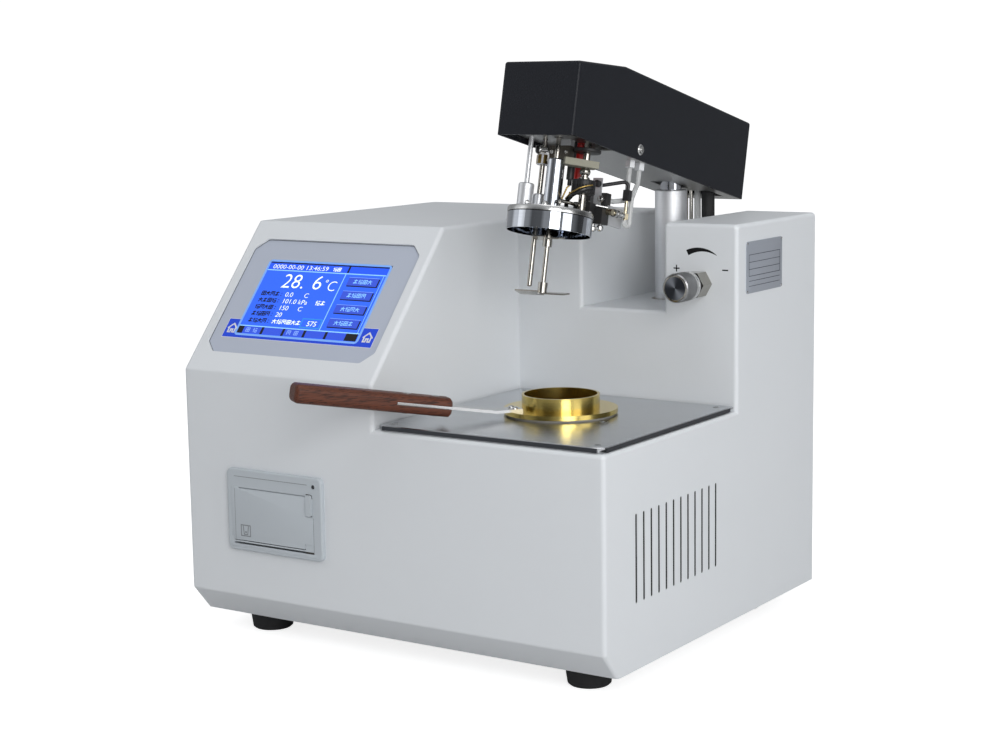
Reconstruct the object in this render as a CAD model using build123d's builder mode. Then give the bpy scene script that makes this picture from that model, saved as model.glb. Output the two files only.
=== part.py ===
"""Automatic closed-cup flash point tester.

A folded steel cabinet with a sloped display, a low stainless test deck and a
pocket behind it. A column rises out of the pocket and carries a tilting arm
with the test cover, stirrer, probe, shutter and gas nozzle over a brass cup.

Sizes are in millimetres. +Z is up, +X runs to the right and +Y from the front
to the back. The origin is the bottom centre of the whole tester, with the arm
raised. Heights of cabinet features count from the underside of the cabinet
and depths from its front face.
"""
from build123d import *
import os
from math import atan2, cos, degrees, hypot, radians, sin, sqrt, tan

os.makedirs("parts", exist_ok=True)

# --- Cabinet ---
cabinet_h = 280.0  # height without the feet
sheet = 1.5  # thickness of the folded steel sheet
fold_r = 3.0  # outer radius of a fold
left_w = 169.0  # width of the tall left housing
right_w = 58.0  # width of the right block, beside the pocket
slope_low = 180.0  # height where the sloped face starts
slope_run = 88.0  # depth that the sloped face takes
chin_d = 16.0  # chamfer under the front face, along the depth
chin_h = 18.5  # the same chamfer, along the height
deck_h = 149.0  # height of the painted deck
ledge_h = 217.0  # height of the pocket's floor
fit_gap = 0.3  # general clearance between pieces

# --- Feet ---
foot_h = 16.0  # height of the cabinet above the table
foot_r = 17.0  # radius at the cabinet
foot_tip_r = 14.5  # radius at the table
foot_x = 136.5  # distance from the centre line
foot_inset = 44.0  # distance from the front and back faces

# --- Cup: the standard closed-cup sizes ---
cup_bore_r = 25.4  # inner radius
cup_depth = 56.0  # inner depth
cup_r = 27.0  # outer radius
cup_flange_r = 39.5
cup_flange_t = 3.2
cup_collar = 9.5  # rim above the flange
cup_drop = 45.5  # body below the flange
cup_side = 87.5  # cup, cover and column, from the side of the left housing
cup_d = 100.0  # depth of the cup's axis

# --- Deck plate and air bath ---
plate_t = 1.5
plate_rise = 4.0  # top of the stainless plate above the painted deck
plate_edge = 2.0  # margin left beside the plate
plate_corner_r = 8.0
bath_bore_r = 30.0
bath_r = 36.0
bath_depth = 50.0  # below the painted deck
bath_floor = 6.0
bath_rim_r = 45.0  # flange that rests on the painted deck
bath_rim_t = 2.0
ring_r = 37.7  # insulating ring that the cup's flange rests on
flange_lift = 1.3  # top of that ring above the deck plate
heater_t = 3.4
heater_h = 30.0

# --- Handle of the cup ---
handle_turn = 236.0  # direction seen from above, in degrees
handle_rise = 9.5  # upward slope of the grip, in degrees
strip_w = 12.0
strip_t = 2.0
strip_start = 31.0  # from the cup's axis
strip_bend = 50.0
grip_start = 83.0
grip_end = 192.0
grip_w = 17.0
grip_t = 13.0
grip_slot = 40.0  # how far the strip runs into the grip

# --- Column ---
column_r = 12.0
pocket_front = 75.7  # from the deck's back wall to the column's axis
pocket_rear = 51.3  # from the column's axis to the cabinet's back
column_bore_r = 8.1
column_foot = 85.0  # lower end of the tube above the cabinet's underside
column_hole_r = 15.0  # hole in the ledge
run_gap = 0.05  # radial running clearance
shaft_r = 8.0  # polished head inside the tube
head_show = 19.7  # from the top of the tube up to the pivot
pin_r = 3.0
lift = 80.5  # travel of the column
yoke_t = 8.0
actuator_y = 42.0  # actuator in front of the column
actuator_r = 14.0
actuator_low = 105.0  # its lower end above the cabinet's underside
rod_r = 4.0

# --- Arm, in its own frame: underside at 0, column axis at 0 ---
tilt = 13.1  # upward tilt of the raised arm, in degrees
pivot_h = 16.0  # pivot above the underside
arm_w = 60.0
nose_reach = 31.3  # from the cover's axis to the nose
arm_rear = 64.0
arm_nose_h = 49.5
arm_back_h = 59.0
arm_nose = 61.0  # length of the slanted top at the nose
arm_corner_r = 2.0
arm_reach = 158.7  # from the column's axis to the cover's axis
head_gap = 56.0  # length of the open bay behind the nose
bay_floor = 4.0  # frame plate inside the nose, above the underside
pocket_gap_left = 2.5  # beside the lowered arm
pocket_gap_right = 5.5

# --- Test cover under the arm ---
cover_drop = 61.4  # from the arm's underside to the cover's lower rim
cover_h = 15.4
cover_r = 29.2
cover_top_r = 28.6
cover_top_t = 2.6
cover_seat = 7.0  # how far the skirt passes down over the cup's collar
skirt_t = 0.8
housing_r = 6.0
housing_top = 10.6  # below the arm's underside
shaft_thin_r = 1.75  # stirrer shaft
shaft_gap = 0.08
stir_low = 102.0  # lower propeller below the underside
stir_low_r = 20.0
stir_high = 64.5
stir_high_r = 11.5

# --- Derived places in the cabinet ---
pivot_rise = cos(radians(tilt))
pivot_lean = sin(radians(tilt))
arm_front = arm_reach + nose_reach
column_d = cup_d + arm_reach
deck_d = column_d - pocket_front
cabinet_d = column_d + pocket_rear
test_axis = left_w + cup_side
cabinet_w = test_axis + arm_w / 2 + pocket_gap_right + right_w
rear_reach = column_d + arm_rear * pivot_rise + (arm_back_h - pivot_h) * pivot_lean
front_reach = grip_end * sin(radians(handle_turn - 180)) - cup_d
x_left = -cabinet_w / 2
x_right = cabinet_w / 2
y_front = (front_reach - rear_reach) / 2
y_back = y_front + cabinet_d
y_wall = y_front + deck_d
x_step = x_left + left_w
z_base = foot_h
z_top = z_base + cabinet_h
z_deck = z_base + deck_h
z_ledge = z_base + ledge_h
test_x = x_left + test_axis
cup_y = y_front + cup_d
column_y = y_front + column_d
pocket_left = test_x - arm_w / 2 - pocket_gap_left
pocket_right = test_x + arm_w / 2 + pocket_gap_right
z_plate = z_deck + plate_rise
z_flange = z_plate + flange_lift
z_rim = z_flange + cup_flange_t + cup_collar
z_under_low = z_rim - cover_seat + cover_drop
z_pivot = z_under_low + pivot_h + lift
tube_top = z_pivot - head_show
slope_rise = cabinet_h - slope_low
slope_face = Plane(
    origin=(x_left + left_w / 2, y_front + slope_run / 2, z_base + slope_low + slope_rise / 2),
    x_dir=(1, 0, 0),
    z_dir=(0, -slope_rise, slope_run),
)
arm_pose = Pos(test_x, column_y, z_pivot) * Rot(-tilt, 0, 0) * Pos(0, 0, -pivot_h)
arm_axes = Plane(arm_pose)


def on_arm(z, y=0.0, x=0.0):
    """Level plane of the arm's own frame at height z, centred at x, y."""
    return Plane(arm_pose * Location((x, y, z)))


def on_head(z, x=0.0, y=0.0):
    """The same, with y measured from the cover's axis."""
    return on_arm(z, y - arm_reach, x)


def arm_side(x, y=0.0, z=0.0):
    """Plane of the arm's frame that faces +X: its x is the arm's y, its y the arm's z."""
    origin = (arm_pose * Pos(x, y, z)).position
    return Plane(origin=origin, x_dir=arm_axes.y_dir, z_dir=arm_axes.x_dir)


def head_point(x, y, z):
    """A point given in the head's frame, in the frame of the whole tester."""
    return (arm_pose * Pos(x, y - arm_reach, z)).position


def finish(piece, name):
    """Label a finished piece and write its file."""
    piece.part.label = name
    export_step(piece.part, f"parts/{name}.step")


# === Cabinet shell ===
def cabinet_profile(tops, low, back):
    """Side outline of the cabinet, down to the height low and back to the depth back."""
    chin_y = y_front + (z_base + chin_h - low) * chin_d / chin_h
    face = [(chin_y, low), (y_front, z_base + chin_h)]
    return face + tops + [(back, tops[-1][1]), (back, low)]


def cabinet_block(inset, open_by):
    """The cabinet as one solid, moved in by inset and run on by open_by at its open sides."""
    low = z_base - open_by
    back = y_back + open_by
    tall = [(y_front, z_base + slope_low), (y_front + slope_run, z_top)]
    with BuildPart() as block:
        for tops, x_end in ((tall, x_step), ([(y_front, z_deck)], x_right)):
            with BuildSketch(Plane.YZ.offset(x_left + inset)):
                with BuildLine():
                    Polyline(*cabinet_profile(tops, low, back), close=True)
                make_face()
                if inset:
                    offset(amount=-inset, kind=Kind.INTERSECTION)
            extrude(amount=x_end - x_left - 2 * inset)
        for x_a, x_b, top in (
            (x_left, pocket_left, z_top),
            (pocket_right, x_right, z_top),
            (x_left, x_right, z_ledge),
        ):
            with BuildSketch(Plane.XY.offset(low + inset)):
                with Locations(((x_a + x_b) / 2, (y_wall + back) / 2)):
                    Rectangle(x_b - x_a - 2 * inset, back - y_wall - 2 * inset)
            extrude(amount=top - low - 2 * inset)
    return block.part


def is_fold(edge):
    """True for an outward edge that isn't on the open bottom or back."""
    box = edge.bounding_box()
    touches_open_side = box.max.Z < z_base + sheet or box.min.Y > y_back - sheet
    return not touches_open_side and not edge.is_interior


bezel_side = 9.25  # painted margin beside the bezel
bezel_w = left_w - 2 * bezel_side
bezel_h = 100.5
bezel_cut = 9.0  # cut corners
bezel_soft_r = 4.0
bezel_lap = 5.0  # hidden edge behind the sheet
bezel_t = 2.0
printer_side = 40.05  # from the cabinet's left side to the printer's frame
printer_up = 82.4
printer_z = z_base + printer_up
printer_w = 85.5
printer_x = x_left + printer_side + printer_w / 2
printer_h = 59.0
printer_proud = 3.5
bay_w = 70.0  # outer width of the paper bay
bay_h = 45.0
bay_d = 52.0
bay_side = 4.5  # bay to the left of the frame's centre
bay_drop = 4.4  # and below it
bay_x = printer_x - bay_side
bay_z = printer_z - bay_drop
knob_side = 0.5  # knob to the left of the block's middle
knob_up = 238.0
knob_x = (pocket_right + x_right) / 2 - knob_side
knob_z = z_base + knob_up
valve_thread_r = 6.0
hose_y = 36.0  # row of hoses behind the column
vent_count = 12
vent_pitch = 10.08
vent_w = 2.4
vent_h = 59.4
vent_d = 95.5
vent_up = 74.5
vent_y = y_front + vent_d
vent_z = z_base + vent_up
ledge_slot_w = 34.0
ledge_slot_d = 15.0
hose_side = 3.0  # middle of the hoses, to the right of the column
hose_x = test_x + hose_side

with BuildPart() as shell:
    add(cabinet_block(0, 0))
    fillet(shell.edges().filter_by(is_fold), fold_r)
    add(cabinet_block(sheet, 10 * sheet), mode=Mode.SUBTRACT)
    # Hole for the air bath in the painted deck.
    with BuildSketch(Plane.XY.offset(z_deck)):
        with Locations((test_x, cup_y)):
            Circle(bath_r + sheet)
    extrude(amount=-2 * sheet, mode=Mode.SUBTRACT)
    # Holes for the column and the hoses in the ledge.
    with BuildSketch(Plane.XY.offset(z_ledge)):
        with Locations((test_x, column_y)):
            Circle(column_hole_r)
        with Locations((hose_x, column_y + hose_y)):
            SlotOverall(ledge_slot_w, ledge_slot_d)
    extrude(amount=-2 * sheet, mode=Mode.SUBTRACT)
    # Display opening in the slope.
    with BuildSketch(slope_face):
        Rectangle(bezel_w, bezel_h)
        chamfer(vertices(), bezel_cut)
        fillet(vertices(), bezel_soft_r)
    extrude(amount=-2 * sheet, mode=Mode.SUBTRACT)
    # Printer opening in the front face.
    with BuildSketch(Plane.XZ.offset(-y_front)):
        with Locations((bay_x, bay_z)):
            Rectangle(bay_w + fit_gap, bay_h + fit_gap)
    extrude(amount=-2 * sheet, mode=Mode.SUBTRACT)
    # Hole for the needle valve in the front wall of the right block.
    with BuildSketch(Plane.XZ.offset(-y_wall)):
        with Locations((knob_x, knob_z)):
            Circle(valve_thread_r + fit_gap)
    extrude(amount=-2 * sheet, mode=Mode.SUBTRACT)
    # Row of cooling slots in the right side.
    with BuildSketch(Plane.YZ.offset(x_right)):
        with Locations((vent_y, vent_z)):
            with GridLocations(vent_pitch, 0, vent_count, 1):
                SlotOverall(vent_h, vent_w, rotation=90)
    extrude(amount=-2 * sheet, mode=Mode.SUBTRACT)
finish(shell, "cabinet_shell")

# === Base pan, rear panel and feet ===
chin_inset = sheet * hypot(1, chin_d / chin_h)
with BuildPart() as base_pan:
    with BuildSketch(Plane.YZ.offset(x_left + sheet)):
        with BuildLine():
            Polyline(
                (y_front + chin_d + chin_inset, z_base),
                (y_front + chin_d + chin_inset, z_base + sheet),
                (y_back - sheet, z_base + sheet),
                (y_back - sheet, z_base),
                close=True,
            )
        make_face()
    extrude(amount=cabinet_w - 2 * sheet)
finish(base_pan, "base_pan")

fan_side = 71.5  # from the test axis to the fan's axis
fan_x = test_x - fan_side
fan_up = 95.0
fan_z = z_base + fan_up
fan_size = 80.0
fan_t = 25.0
fan_bore_r = 37.5
grille_pitch = 7.5
grille_slot = 4.0
inlet_side = 50.0
inlet_up = 62.0
inlet_x = x_left + inlet_side
inlet_z = z_base + inlet_up
inlet_w = 28.0
inlet_h = 58.0
gas_side = 1.0  # gas inlet to the left of the block's middle
gas_up = 60.0
gas_x = (pocket_right + x_right) / 2 - gas_side
gas_z = z_base + gas_up
gas_r = 4.0
gas_len = 15.0
gas_nut_af = 14.0
gas_nut_t = 4.0
gas_wall = 1.5
gas_in = 20.0
rear_inner = y_back - sheet

with BuildPart() as rear_panel:
    with BuildSketch(Plane.XZ.offset(-y_back)):
        with BuildLine():
            Polyline(
                (x_left + sheet, z_base),
                (x_right - sheet, z_base),
                (x_right - sheet, z_top - sheet),
                (pocket_right + sheet, z_top - sheet),
                (pocket_right + sheet, z_ledge - sheet),
                (pocket_left - sheet, z_ledge - sheet),
                (pocket_left - sheet, z_top - sheet),
                (x_left + sheet, z_top - sheet),
                close=True,
            )
        make_face()
        with Locations((inlet_x, inlet_z)):
            Rectangle(inlet_w, inlet_h, mode=Mode.SUBTRACT)
        with Locations((gas_x, gas_z)):
            Circle(gas_r + sheet, mode=Mode.SUBTRACT)
        # Fan grille: upright slots that fill a circle.
        for step in range(-4, 5):
            reach = sqrt(fan_bore_r**2 - (step * grille_pitch) ** 2)
            with Locations((fan_x + step * grille_pitch, fan_z)):
                SlotOverall(2 * reach, grille_slot, rotation=90, mode=Mode.SUBTRACT)
    extrude(amount=sheet)
finish(rear_panel, "rear_panel")

foot_places = [
    (side * foot_x, foot_y)
    for foot_y in (y_front + foot_inset, y_back - foot_inset)
    for side in (-1, 1)
]
foot_bore_r = 5.0  # recess for the screw
foot_bore_depth = 9.0
foot_edge = 1.2  # chamfer at the table
foot_taper = degrees(atan2(foot_r - foot_tip_r, foot_h))
with BuildPart() as feet:
    with BuildSketch(Plane.XY):
        with Locations(*foot_places):
            Circle(foot_tip_r)
    extrude(amount=foot_h, taper=-foot_taper)
    chamfer(feet.edges().group_by(Axis.Z)[0], foot_edge)
    with BuildSketch(Plane.XY):
        with Locations(*foot_places):
            Circle(foot_bore_r)
    extrude(amount=foot_bore_depth, mode=Mode.SUBTRACT)
finish(feet, "rubber_feet")

# === Stainless deck plate on four bosses, with a folded front lip ===
plate_w = x_right - x_step - 2 * plate_edge
plate_len = deck_d - 2 * plate_edge
plate_x = (x_step + x_right) / 2
plate_y = y_front + deck_d / 2
lip_h = plate_rise - fit_gap
boss_r = 4.0
boss_inset = 9.0
plate_soft = 0.5  # chamfer round the top
with BuildPart() as deck_plate:
    with BuildSketch(Plane.XY.offset(z_plate)):
        with Locations((plate_x, plate_y)):
            Rectangle(plate_w, plate_len)
        fillet(vertices().group_by(Axis.Y)[0], plate_corner_r)
    extrude(amount=-plate_t)
    with BuildSketch(Plane.XY.offset(z_plate - plate_t)):
        with Locations((plate_x, plate_y - plate_len / 2 + plate_t / 2)):
            Rectangle(plate_w - 2 * plate_corner_r, plate_t)
    extrude(amount=plate_t - lip_h)
    with BuildSketch(Plane.XY.offset(z_deck)):
        with Locations((plate_x, plate_y)):
            with GridLocations(plate_w - 2 * boss_inset, plate_len - 2 * boss_inset, 2, 2):
                Circle(boss_r)
    extrude(amount=plate_rise - plate_t)
    with BuildSketch(Plane.XY.offset(z_plate)):
        with Locations((test_x, cup_y)):
            Circle(ring_r + 2 * fit_gap)
    extrude(amount=-plate_t, mode=Mode.SUBTRACT)
    chamfer(deck_plate.faces().sort_by(Axis.Z)[-1].outer_wire().edges(), plate_soft)
finish(deck_plate, "deck_plate")


# === Air bath, its ring and heater ===
def turned(outline, x, y):
    """Revolve an outline of radius and height points about an upright axis at x, y."""
    with BuildPart() as piece:
        with BuildSketch(Plane(origin=(x, y, 0), x_dir=(1, 0, 0), z_dir=(0, -1, 0))):
            with BuildLine():
                Polyline(*outline, close=True)
            make_face()
        revolve(axis=Axis((x, y, 0), (0, 0, 1)))
    return piece


bath_lip = 0.5  # wall that stands into the deck plate's hole
bath_top = z_deck + plate_rise - plate_t + bath_lip
bath_low = z_deck - bath_depth
bath = turned(
    [
        (0, bath_low),
        (bath_r, bath_low),
        (bath_r, z_deck),
        (bath_rim_r, z_deck),
        (bath_rim_r, z_deck + bath_rim_t),
        (bath_r, z_deck + bath_rim_t),
        (bath_r, bath_top),
        (bath_bore_r, bath_top),
        (bath_bore_r, bath_low + bath_floor),
        (0, bath_low + bath_floor),
    ],
    test_x,
    cup_y,
)
finish(bath, "air_bath")

bath_ring = turned(
    [(bath_bore_r, bath_top), (ring_r, bath_top), (ring_r, z_flange), (bath_bore_r, z_flange)],
    test_x,
    cup_y,
)
finish(bath_ring, "bath_ring")

heater_gap = 0.1
heater_up = 4.0  # above the bath's inner floor
lug_w = 10.0
lug_d = 9.0
lug_out = 3.0
lug_gap = 2.5
lug_gap_d = 14.0
heater_in_r = bath_r + heater_gap
heater_out_r = heater_in_r + heater_t
heater_low = bath_low + bath_floor + heater_up
with BuildPart() as heater:
    with BuildSketch(Plane.XY.offset(heater_low)):
        with Locations((test_x, cup_y)):
            Circle(heater_out_r)
            Circle(heater_in_r, mode=Mode.SUBTRACT)
            # Clamping gap and lugs of the band face the back.
            with Locations((0, heater_out_r + lug_out)):
                Rectangle(lug_w, lug_d)
            with Locations((0, heater_out_r + lug_out / 2)):
                Rectangle(lug_gap, lug_gap_d, mode=Mode.SUBTRACT)
    extrude(amount=heater_h)
finish(heater, "heater_band")

# === Display ===
screen_side = 19.75  # bezel beside the glass
screen_w = bezel_w - 2 * screen_side
screen_h = 65.0
screen_sink = 0.6  # glass below the bezel's face
module_lap = 6.5  # module behind the bezel, on each side
module_w = screen_w + 2 * module_lap
module_h = screen_h + 2 * module_lap
module_t = 7.0
board_gap = 6.0
board_t = 1.6
board_inset = 2.0
standoff_r = 2.5
standoff_inset = 6.0
chip_w = 24.0
chip_h = 20.0
chip_t = 4.0
chip_places = ((-30.0, 10.0), (12.0, -8.0))
socket_strip_w = 12.0
socket_strip_h = 30.0
socket_strip_place = (44.0, 18.0)
with BuildPart() as bezel:
    with BuildSketch(slope_face.offset(-sheet)):
        Rectangle(bezel_w + 2 * bezel_lap, bezel_h + 2 * bezel_lap)
        Rectangle(screen_w, screen_h, mode=Mode.SUBTRACT)
    extrude(amount=-bezel_t)
finish(bezel, "display_bezel")

with BuildPart() as screen:
    with BuildSketch(slope_face.offset(-sheet - screen_sink)):
        Rectangle(screen_w - fit_gap, screen_h - fit_gap)
    extrude(amount=screen_sink - bezel_t)
    with BuildSketch(slope_face.offset(-sheet - bezel_t)):
        Rectangle(module_w, module_h)
    extrude(amount=-module_t)
finish(screen, "touch_screen")

with BuildPart() as board:
    board_top = slope_face.offset(-sheet - bezel_t - module_t - board_gap)
    with BuildSketch(board_top):
        Rectangle(module_w - 2 * board_inset, module_h - 2 * board_inset)
    extrude(amount=-board_t)
    with BuildSketch(board_top):
        with GridLocations(module_w - 2 * standoff_inset, module_h - 2 * standoff_inset, 2, 2):
            Circle(standoff_r)
    extrude(amount=board_gap)
    with BuildSketch(board_top.offset(-board_t)):
        with Locations(*chip_places):
            Rectangle(chip_w, chip_h)
        with Locations(socket_strip_place):
            Rectangle(socket_strip_w, socket_strip_h)
    extrude(amount=-chip_t)
finish(board, "controller_board")

# === Printer ===
door_w = 64.5
door_h = 37.5
door_gap = 0.5
door_t = 3.5
door_foot = 3.6  # room for the hinge under the door
door_low = bay_z - bay_h / 2 + sheet + door_foot
door_z = door_low + door_h / 2
hinge_in = 1.2  # hinge axis behind the frame's face
hinge_up = 2.2
hinge_r = 1.2
hinge_pin = 2.2  # hinge pin beyond the door's side
hinge_hole = 2.4
button_side = 32.0  # button to the right of the frame's centre
button_up = 9.6
button_x = printer_x + button_side
button_z = printer_z + button_up
button_w = 5.0
button_h = 15.0
button_soft_r = 1.5
button_floor = 1.0  # wall behind the button
printer_corner_r = 4.0
printer_soft_r = 1.2
groove_w = 24.0
groove_h = 4.0
groove_t = 1.2
groove_down = 5.0
printer_face = y_front - printer_proud
door_y = printer_face + hinge_in
door_opening_h = door_h + door_foot + door_gap
door_opening_z = door_low - door_foot + door_opening_h / 2
with BuildPart() as printer:
    with BuildSketch(Plane.XZ.offset(-y_front)):
        with Locations((printer_x, printer_z)):
            RectangleRounded(printer_w, printer_h, printer_corner_r)
    extrude(amount=printer_proud)
    front_edges = printer.faces().sort_by(Axis.Y)[0].edges()
    fillet(front_edges, printer_soft_r)
    with BuildSketch(Plane.XZ.offset(-y_front)):
        with Locations((bay_x, bay_z)):
            Rectangle(bay_w, bay_h)
    extrude(amount=-bay_d)
    # Paper bay, open to the front behind the door.
    with BuildSketch(Plane.XZ.offset(-printer_face)):
        with Locations((bay_x, door_opening_z)):
            Rectangle(door_w + 2 * door_gap, door_opening_h)
    extrude(amount=-(printer_proud + bay_d - sheet), mode=Mode.SUBTRACT)
    # Hinge holes in both cheeks of the bay.
    with BuildSketch(Plane.YZ.offset(bay_x)):
        with Locations((door_y, door_low + hinge_up)):
            Circle(hinge_r + run_gap)
    extrude(amount=door_w / 2 + hinge_hole, both=True, mode=Mode.SUBTRACT)
    # Socket of the feed button.
    with BuildSketch(Plane.XZ.offset(-printer_face)):
        with Locations((button_x, button_z)):
            Rectangle(button_w + fit_gap, button_h + fit_gap)
    extrude(amount=button_floor - printer_proud, mode=Mode.SUBTRACT)
finish(printer, "printer_housing")

with BuildPart() as door:
    with BuildSketch(Plane.XZ.offset(-printer_face)):
        with Locations((bay_x, door_z)):
            Rectangle(door_w, door_h)
    extrude(amount=-door_t)
    with BuildSketch(Plane.YZ.offset(bay_x)):
        with Locations((door_y, door_low + hinge_up)):
            Circle(hinge_r)
    extrude(amount=door_w / 2 + hinge_pin, both=True)
    # Finger groove under the paper slit.
    with BuildSketch(Plane.XZ.offset(-printer_face)):
        with Locations((bay_x, door_low + door_h - groove_down)):
            SlotOverall(groove_w, groove_h)
    extrude(amount=-groove_t, mode=Mode.SUBTRACT)
finish(door, "printer_door")

roll_r = 18.0
roll_core_r = 6.0
roll_w = 57.0
roll_gap = 1.5  # behind the roll
roll_y = y_front + bay_d - sheet - roll_r - roll_gap
roll_z = door_low - door_foot + fit_gap + roll_r
with BuildPart() as roll:
    with BuildSketch(Plane.YZ.offset(bay_x - roll_w / 2)):
        with Locations((roll_y, roll_z)):
            Circle(roll_r)
            Circle(roll_core_r, mode=Mode.SUBTRACT)
    extrude(amount=roll_w)
finish(roll, "paper_roll")

button_press = 1.2
button_back = y_front - button_floor - button_press - fit_gap
with BuildPart() as button:
    with BuildSketch(Plane.XZ.offset(-button_back)):
        with Locations((button_x, button_z)):
            RectangleRounded(button_w, button_h, button_soft_r)
    extrude(amount=printer_proud - button_floor - fit_gap)
finish(button, "feed_button")

# === Needle valve and flame knob on the right block ===
nut_af = 17.0
nut_t = 13.0
collar_r = 7.0
collar_t = 4.0
knob_r = 10.0
knob_len = 19.0
spindle_r = 4.0
valve_w = 26.0
valve_t = 30.0
valve_soft_r = 2.0
valve_end = 4.0  # solid behind the spindle's bore
outlet_r = 4.0
outlet_len = 16.0
knob_edge = 0.8
spindle_back = 10.0  # from the spindle's end to the valve's back
with BuildPart() as valve:
    with BuildSketch(Plane.XZ.offset(-(y_wall + sheet))):
        with Locations((knob_x, knob_z)):
            RectangleRounded(valve_w, valve_w, valve_soft_r)
    extrude(amount=-valve_t)
    with BuildSketch(Plane.XZ.offset(-(y_wall + sheet))):
        with Locations((knob_x, knob_z)):
            Circle(valve_thread_r)
    extrude(amount=sheet + nut_t)
    with BuildSketch(Plane.XZ.offset(-y_wall)):
        with Locations((knob_x, knob_z)):
            RegularPolygon(nut_af / 2, 6, major_radius=False)
    extrude(amount=nut_t)
    with BuildSketch(Plane.XZ.offset(-(y_wall - nut_t))):
        with Locations((knob_x, knob_z)):
            Circle(spindle_r + run_gap)
    extrude(amount=valve_end - nut_t - valve_t, mode=Mode.SUBTRACT)
    with BuildSketch(Plane.XY.offset(knob_z - valve_w / 2)):
        with Locations((knob_x, y_wall + sheet + valve_t / 2)):
            Circle(outlet_r)
    extrude(amount=-outlet_len)
finish(valve, "needle_valve")

with BuildPart() as knob:
    with BuildSketch(Plane.XZ.offset(-(y_wall - nut_t - fit_gap))):
        with Locations((knob_x, knob_z)):
            Circle(collar_r)
    extrude(amount=collar_t)
    with BuildSketch(Plane.XZ.offset(-(y_wall - nut_t - collar_t))):
        with Locations((knob_x, knob_z)):
            Circle(knob_r)
    extrude(amount=knob_len)
    chamfer(knob.faces().sort_by(Axis.Y)[0].edges(), knob_edge)
    with BuildSketch(Plane.XZ.offset(-(y_wall - nut_t - fit_gap))):
        with Locations((knob_x, knob_z)):
            Circle(spindle_r)
    extrude(amount=spindle_back - nut_t - sheet - valve_t)
finish(knob, "flame_knob")

# === Rear fittings: fan, power inlet with switch, gas inlet ===
hub_r = 16.0
fan_shaft_r = 2.0
blade_count = 7
blade_r = fan_bore_r - 1.2
blade_t = 1.6
blade_pitch = 35.0
blade_chord = 18.0
blade_root = 1.0  # blade inside the hub
fan_corner_r = 4.0
fan_hole_r = 2.2
fan_hole_inset = 4.5
strut_w = 4.0
strut_t = 3.0
fan_shaft_from = 6.0
rotor_gap = 4.0  # between the hub and the frame's ends
rotor_wall = 1.0  # closed end of the hub
with BuildPart() as fan:
    fan_back = Plane.XZ.offset(-rear_inner)
    with BuildSketch(fan_back):
        with Locations((fan_x, fan_z)):
            RectangleRounded(fan_size, fan_size, fan_corner_r)
            Circle(fan_bore_r, mode=Mode.SUBTRACT)
            fan_holes = fan_size - 2 * fan_hole_inset
            with GridLocations(fan_holes, fan_holes, 2, 2):
                Circle(fan_hole_r, mode=Mode.SUBTRACT)
    extrude(amount=fan_t)
    # Motor seat and its three arms lie at the inner side.
    with BuildSketch(fan_back.offset(fan_t - strut_t)):
        with Locations((fan_x, fan_z)):
            Circle(hub_r)
            for arm_turn in (90, 210, 330):
                with Locations(Rot(0, 0, arm_turn) * Pos((hub_r + fan_bore_r) / 2, 0, 0)):
                    Rectangle(fan_bore_r - hub_r + strut_w, strut_w)
    extrude(amount=strut_t)
    with BuildSketch(fan_back.offset(fan_shaft_from)):
        with Locations((fan_x, fan_z)):
            Circle(fan_shaft_r)
    extrude(amount=fan_t - fan_shaft_from)
finish(fan, "fan_frame")

with BuildPart() as rotor:
    rotor_back = fan_back.offset(rotor_gap)
    with BuildSketch(rotor_back):
        with Locations((fan_x, fan_z)):
            Circle(hub_r)
    extrude(amount=fan_t - 2 * rotor_gap)
    for blade in range(blade_count):
        turn = Rot(0, blade * 360 / blade_count, 0)
        seat = Pos(fan_x, rear_inner - fan_t / 2, fan_z) * turn
        blade_len = blade_r - hub_r + blade_root
        middle = Pos(blade_r - blade_len / 2, 0, 0)
        with Locations(seat * middle * Rot(blade_pitch, 0, 0)):
            Box(blade_len, blade_t, blade_chord)
    with BuildSketch(rotor_back.offset(rotor_wall)):
        with Locations((fan_x, fan_z)):
            Circle(fan_shaft_r + run_gap)
    extrude(amount=fan_t, mode=Mode.SUBTRACT)
finish(rotor, "fan_rotor")

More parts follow.
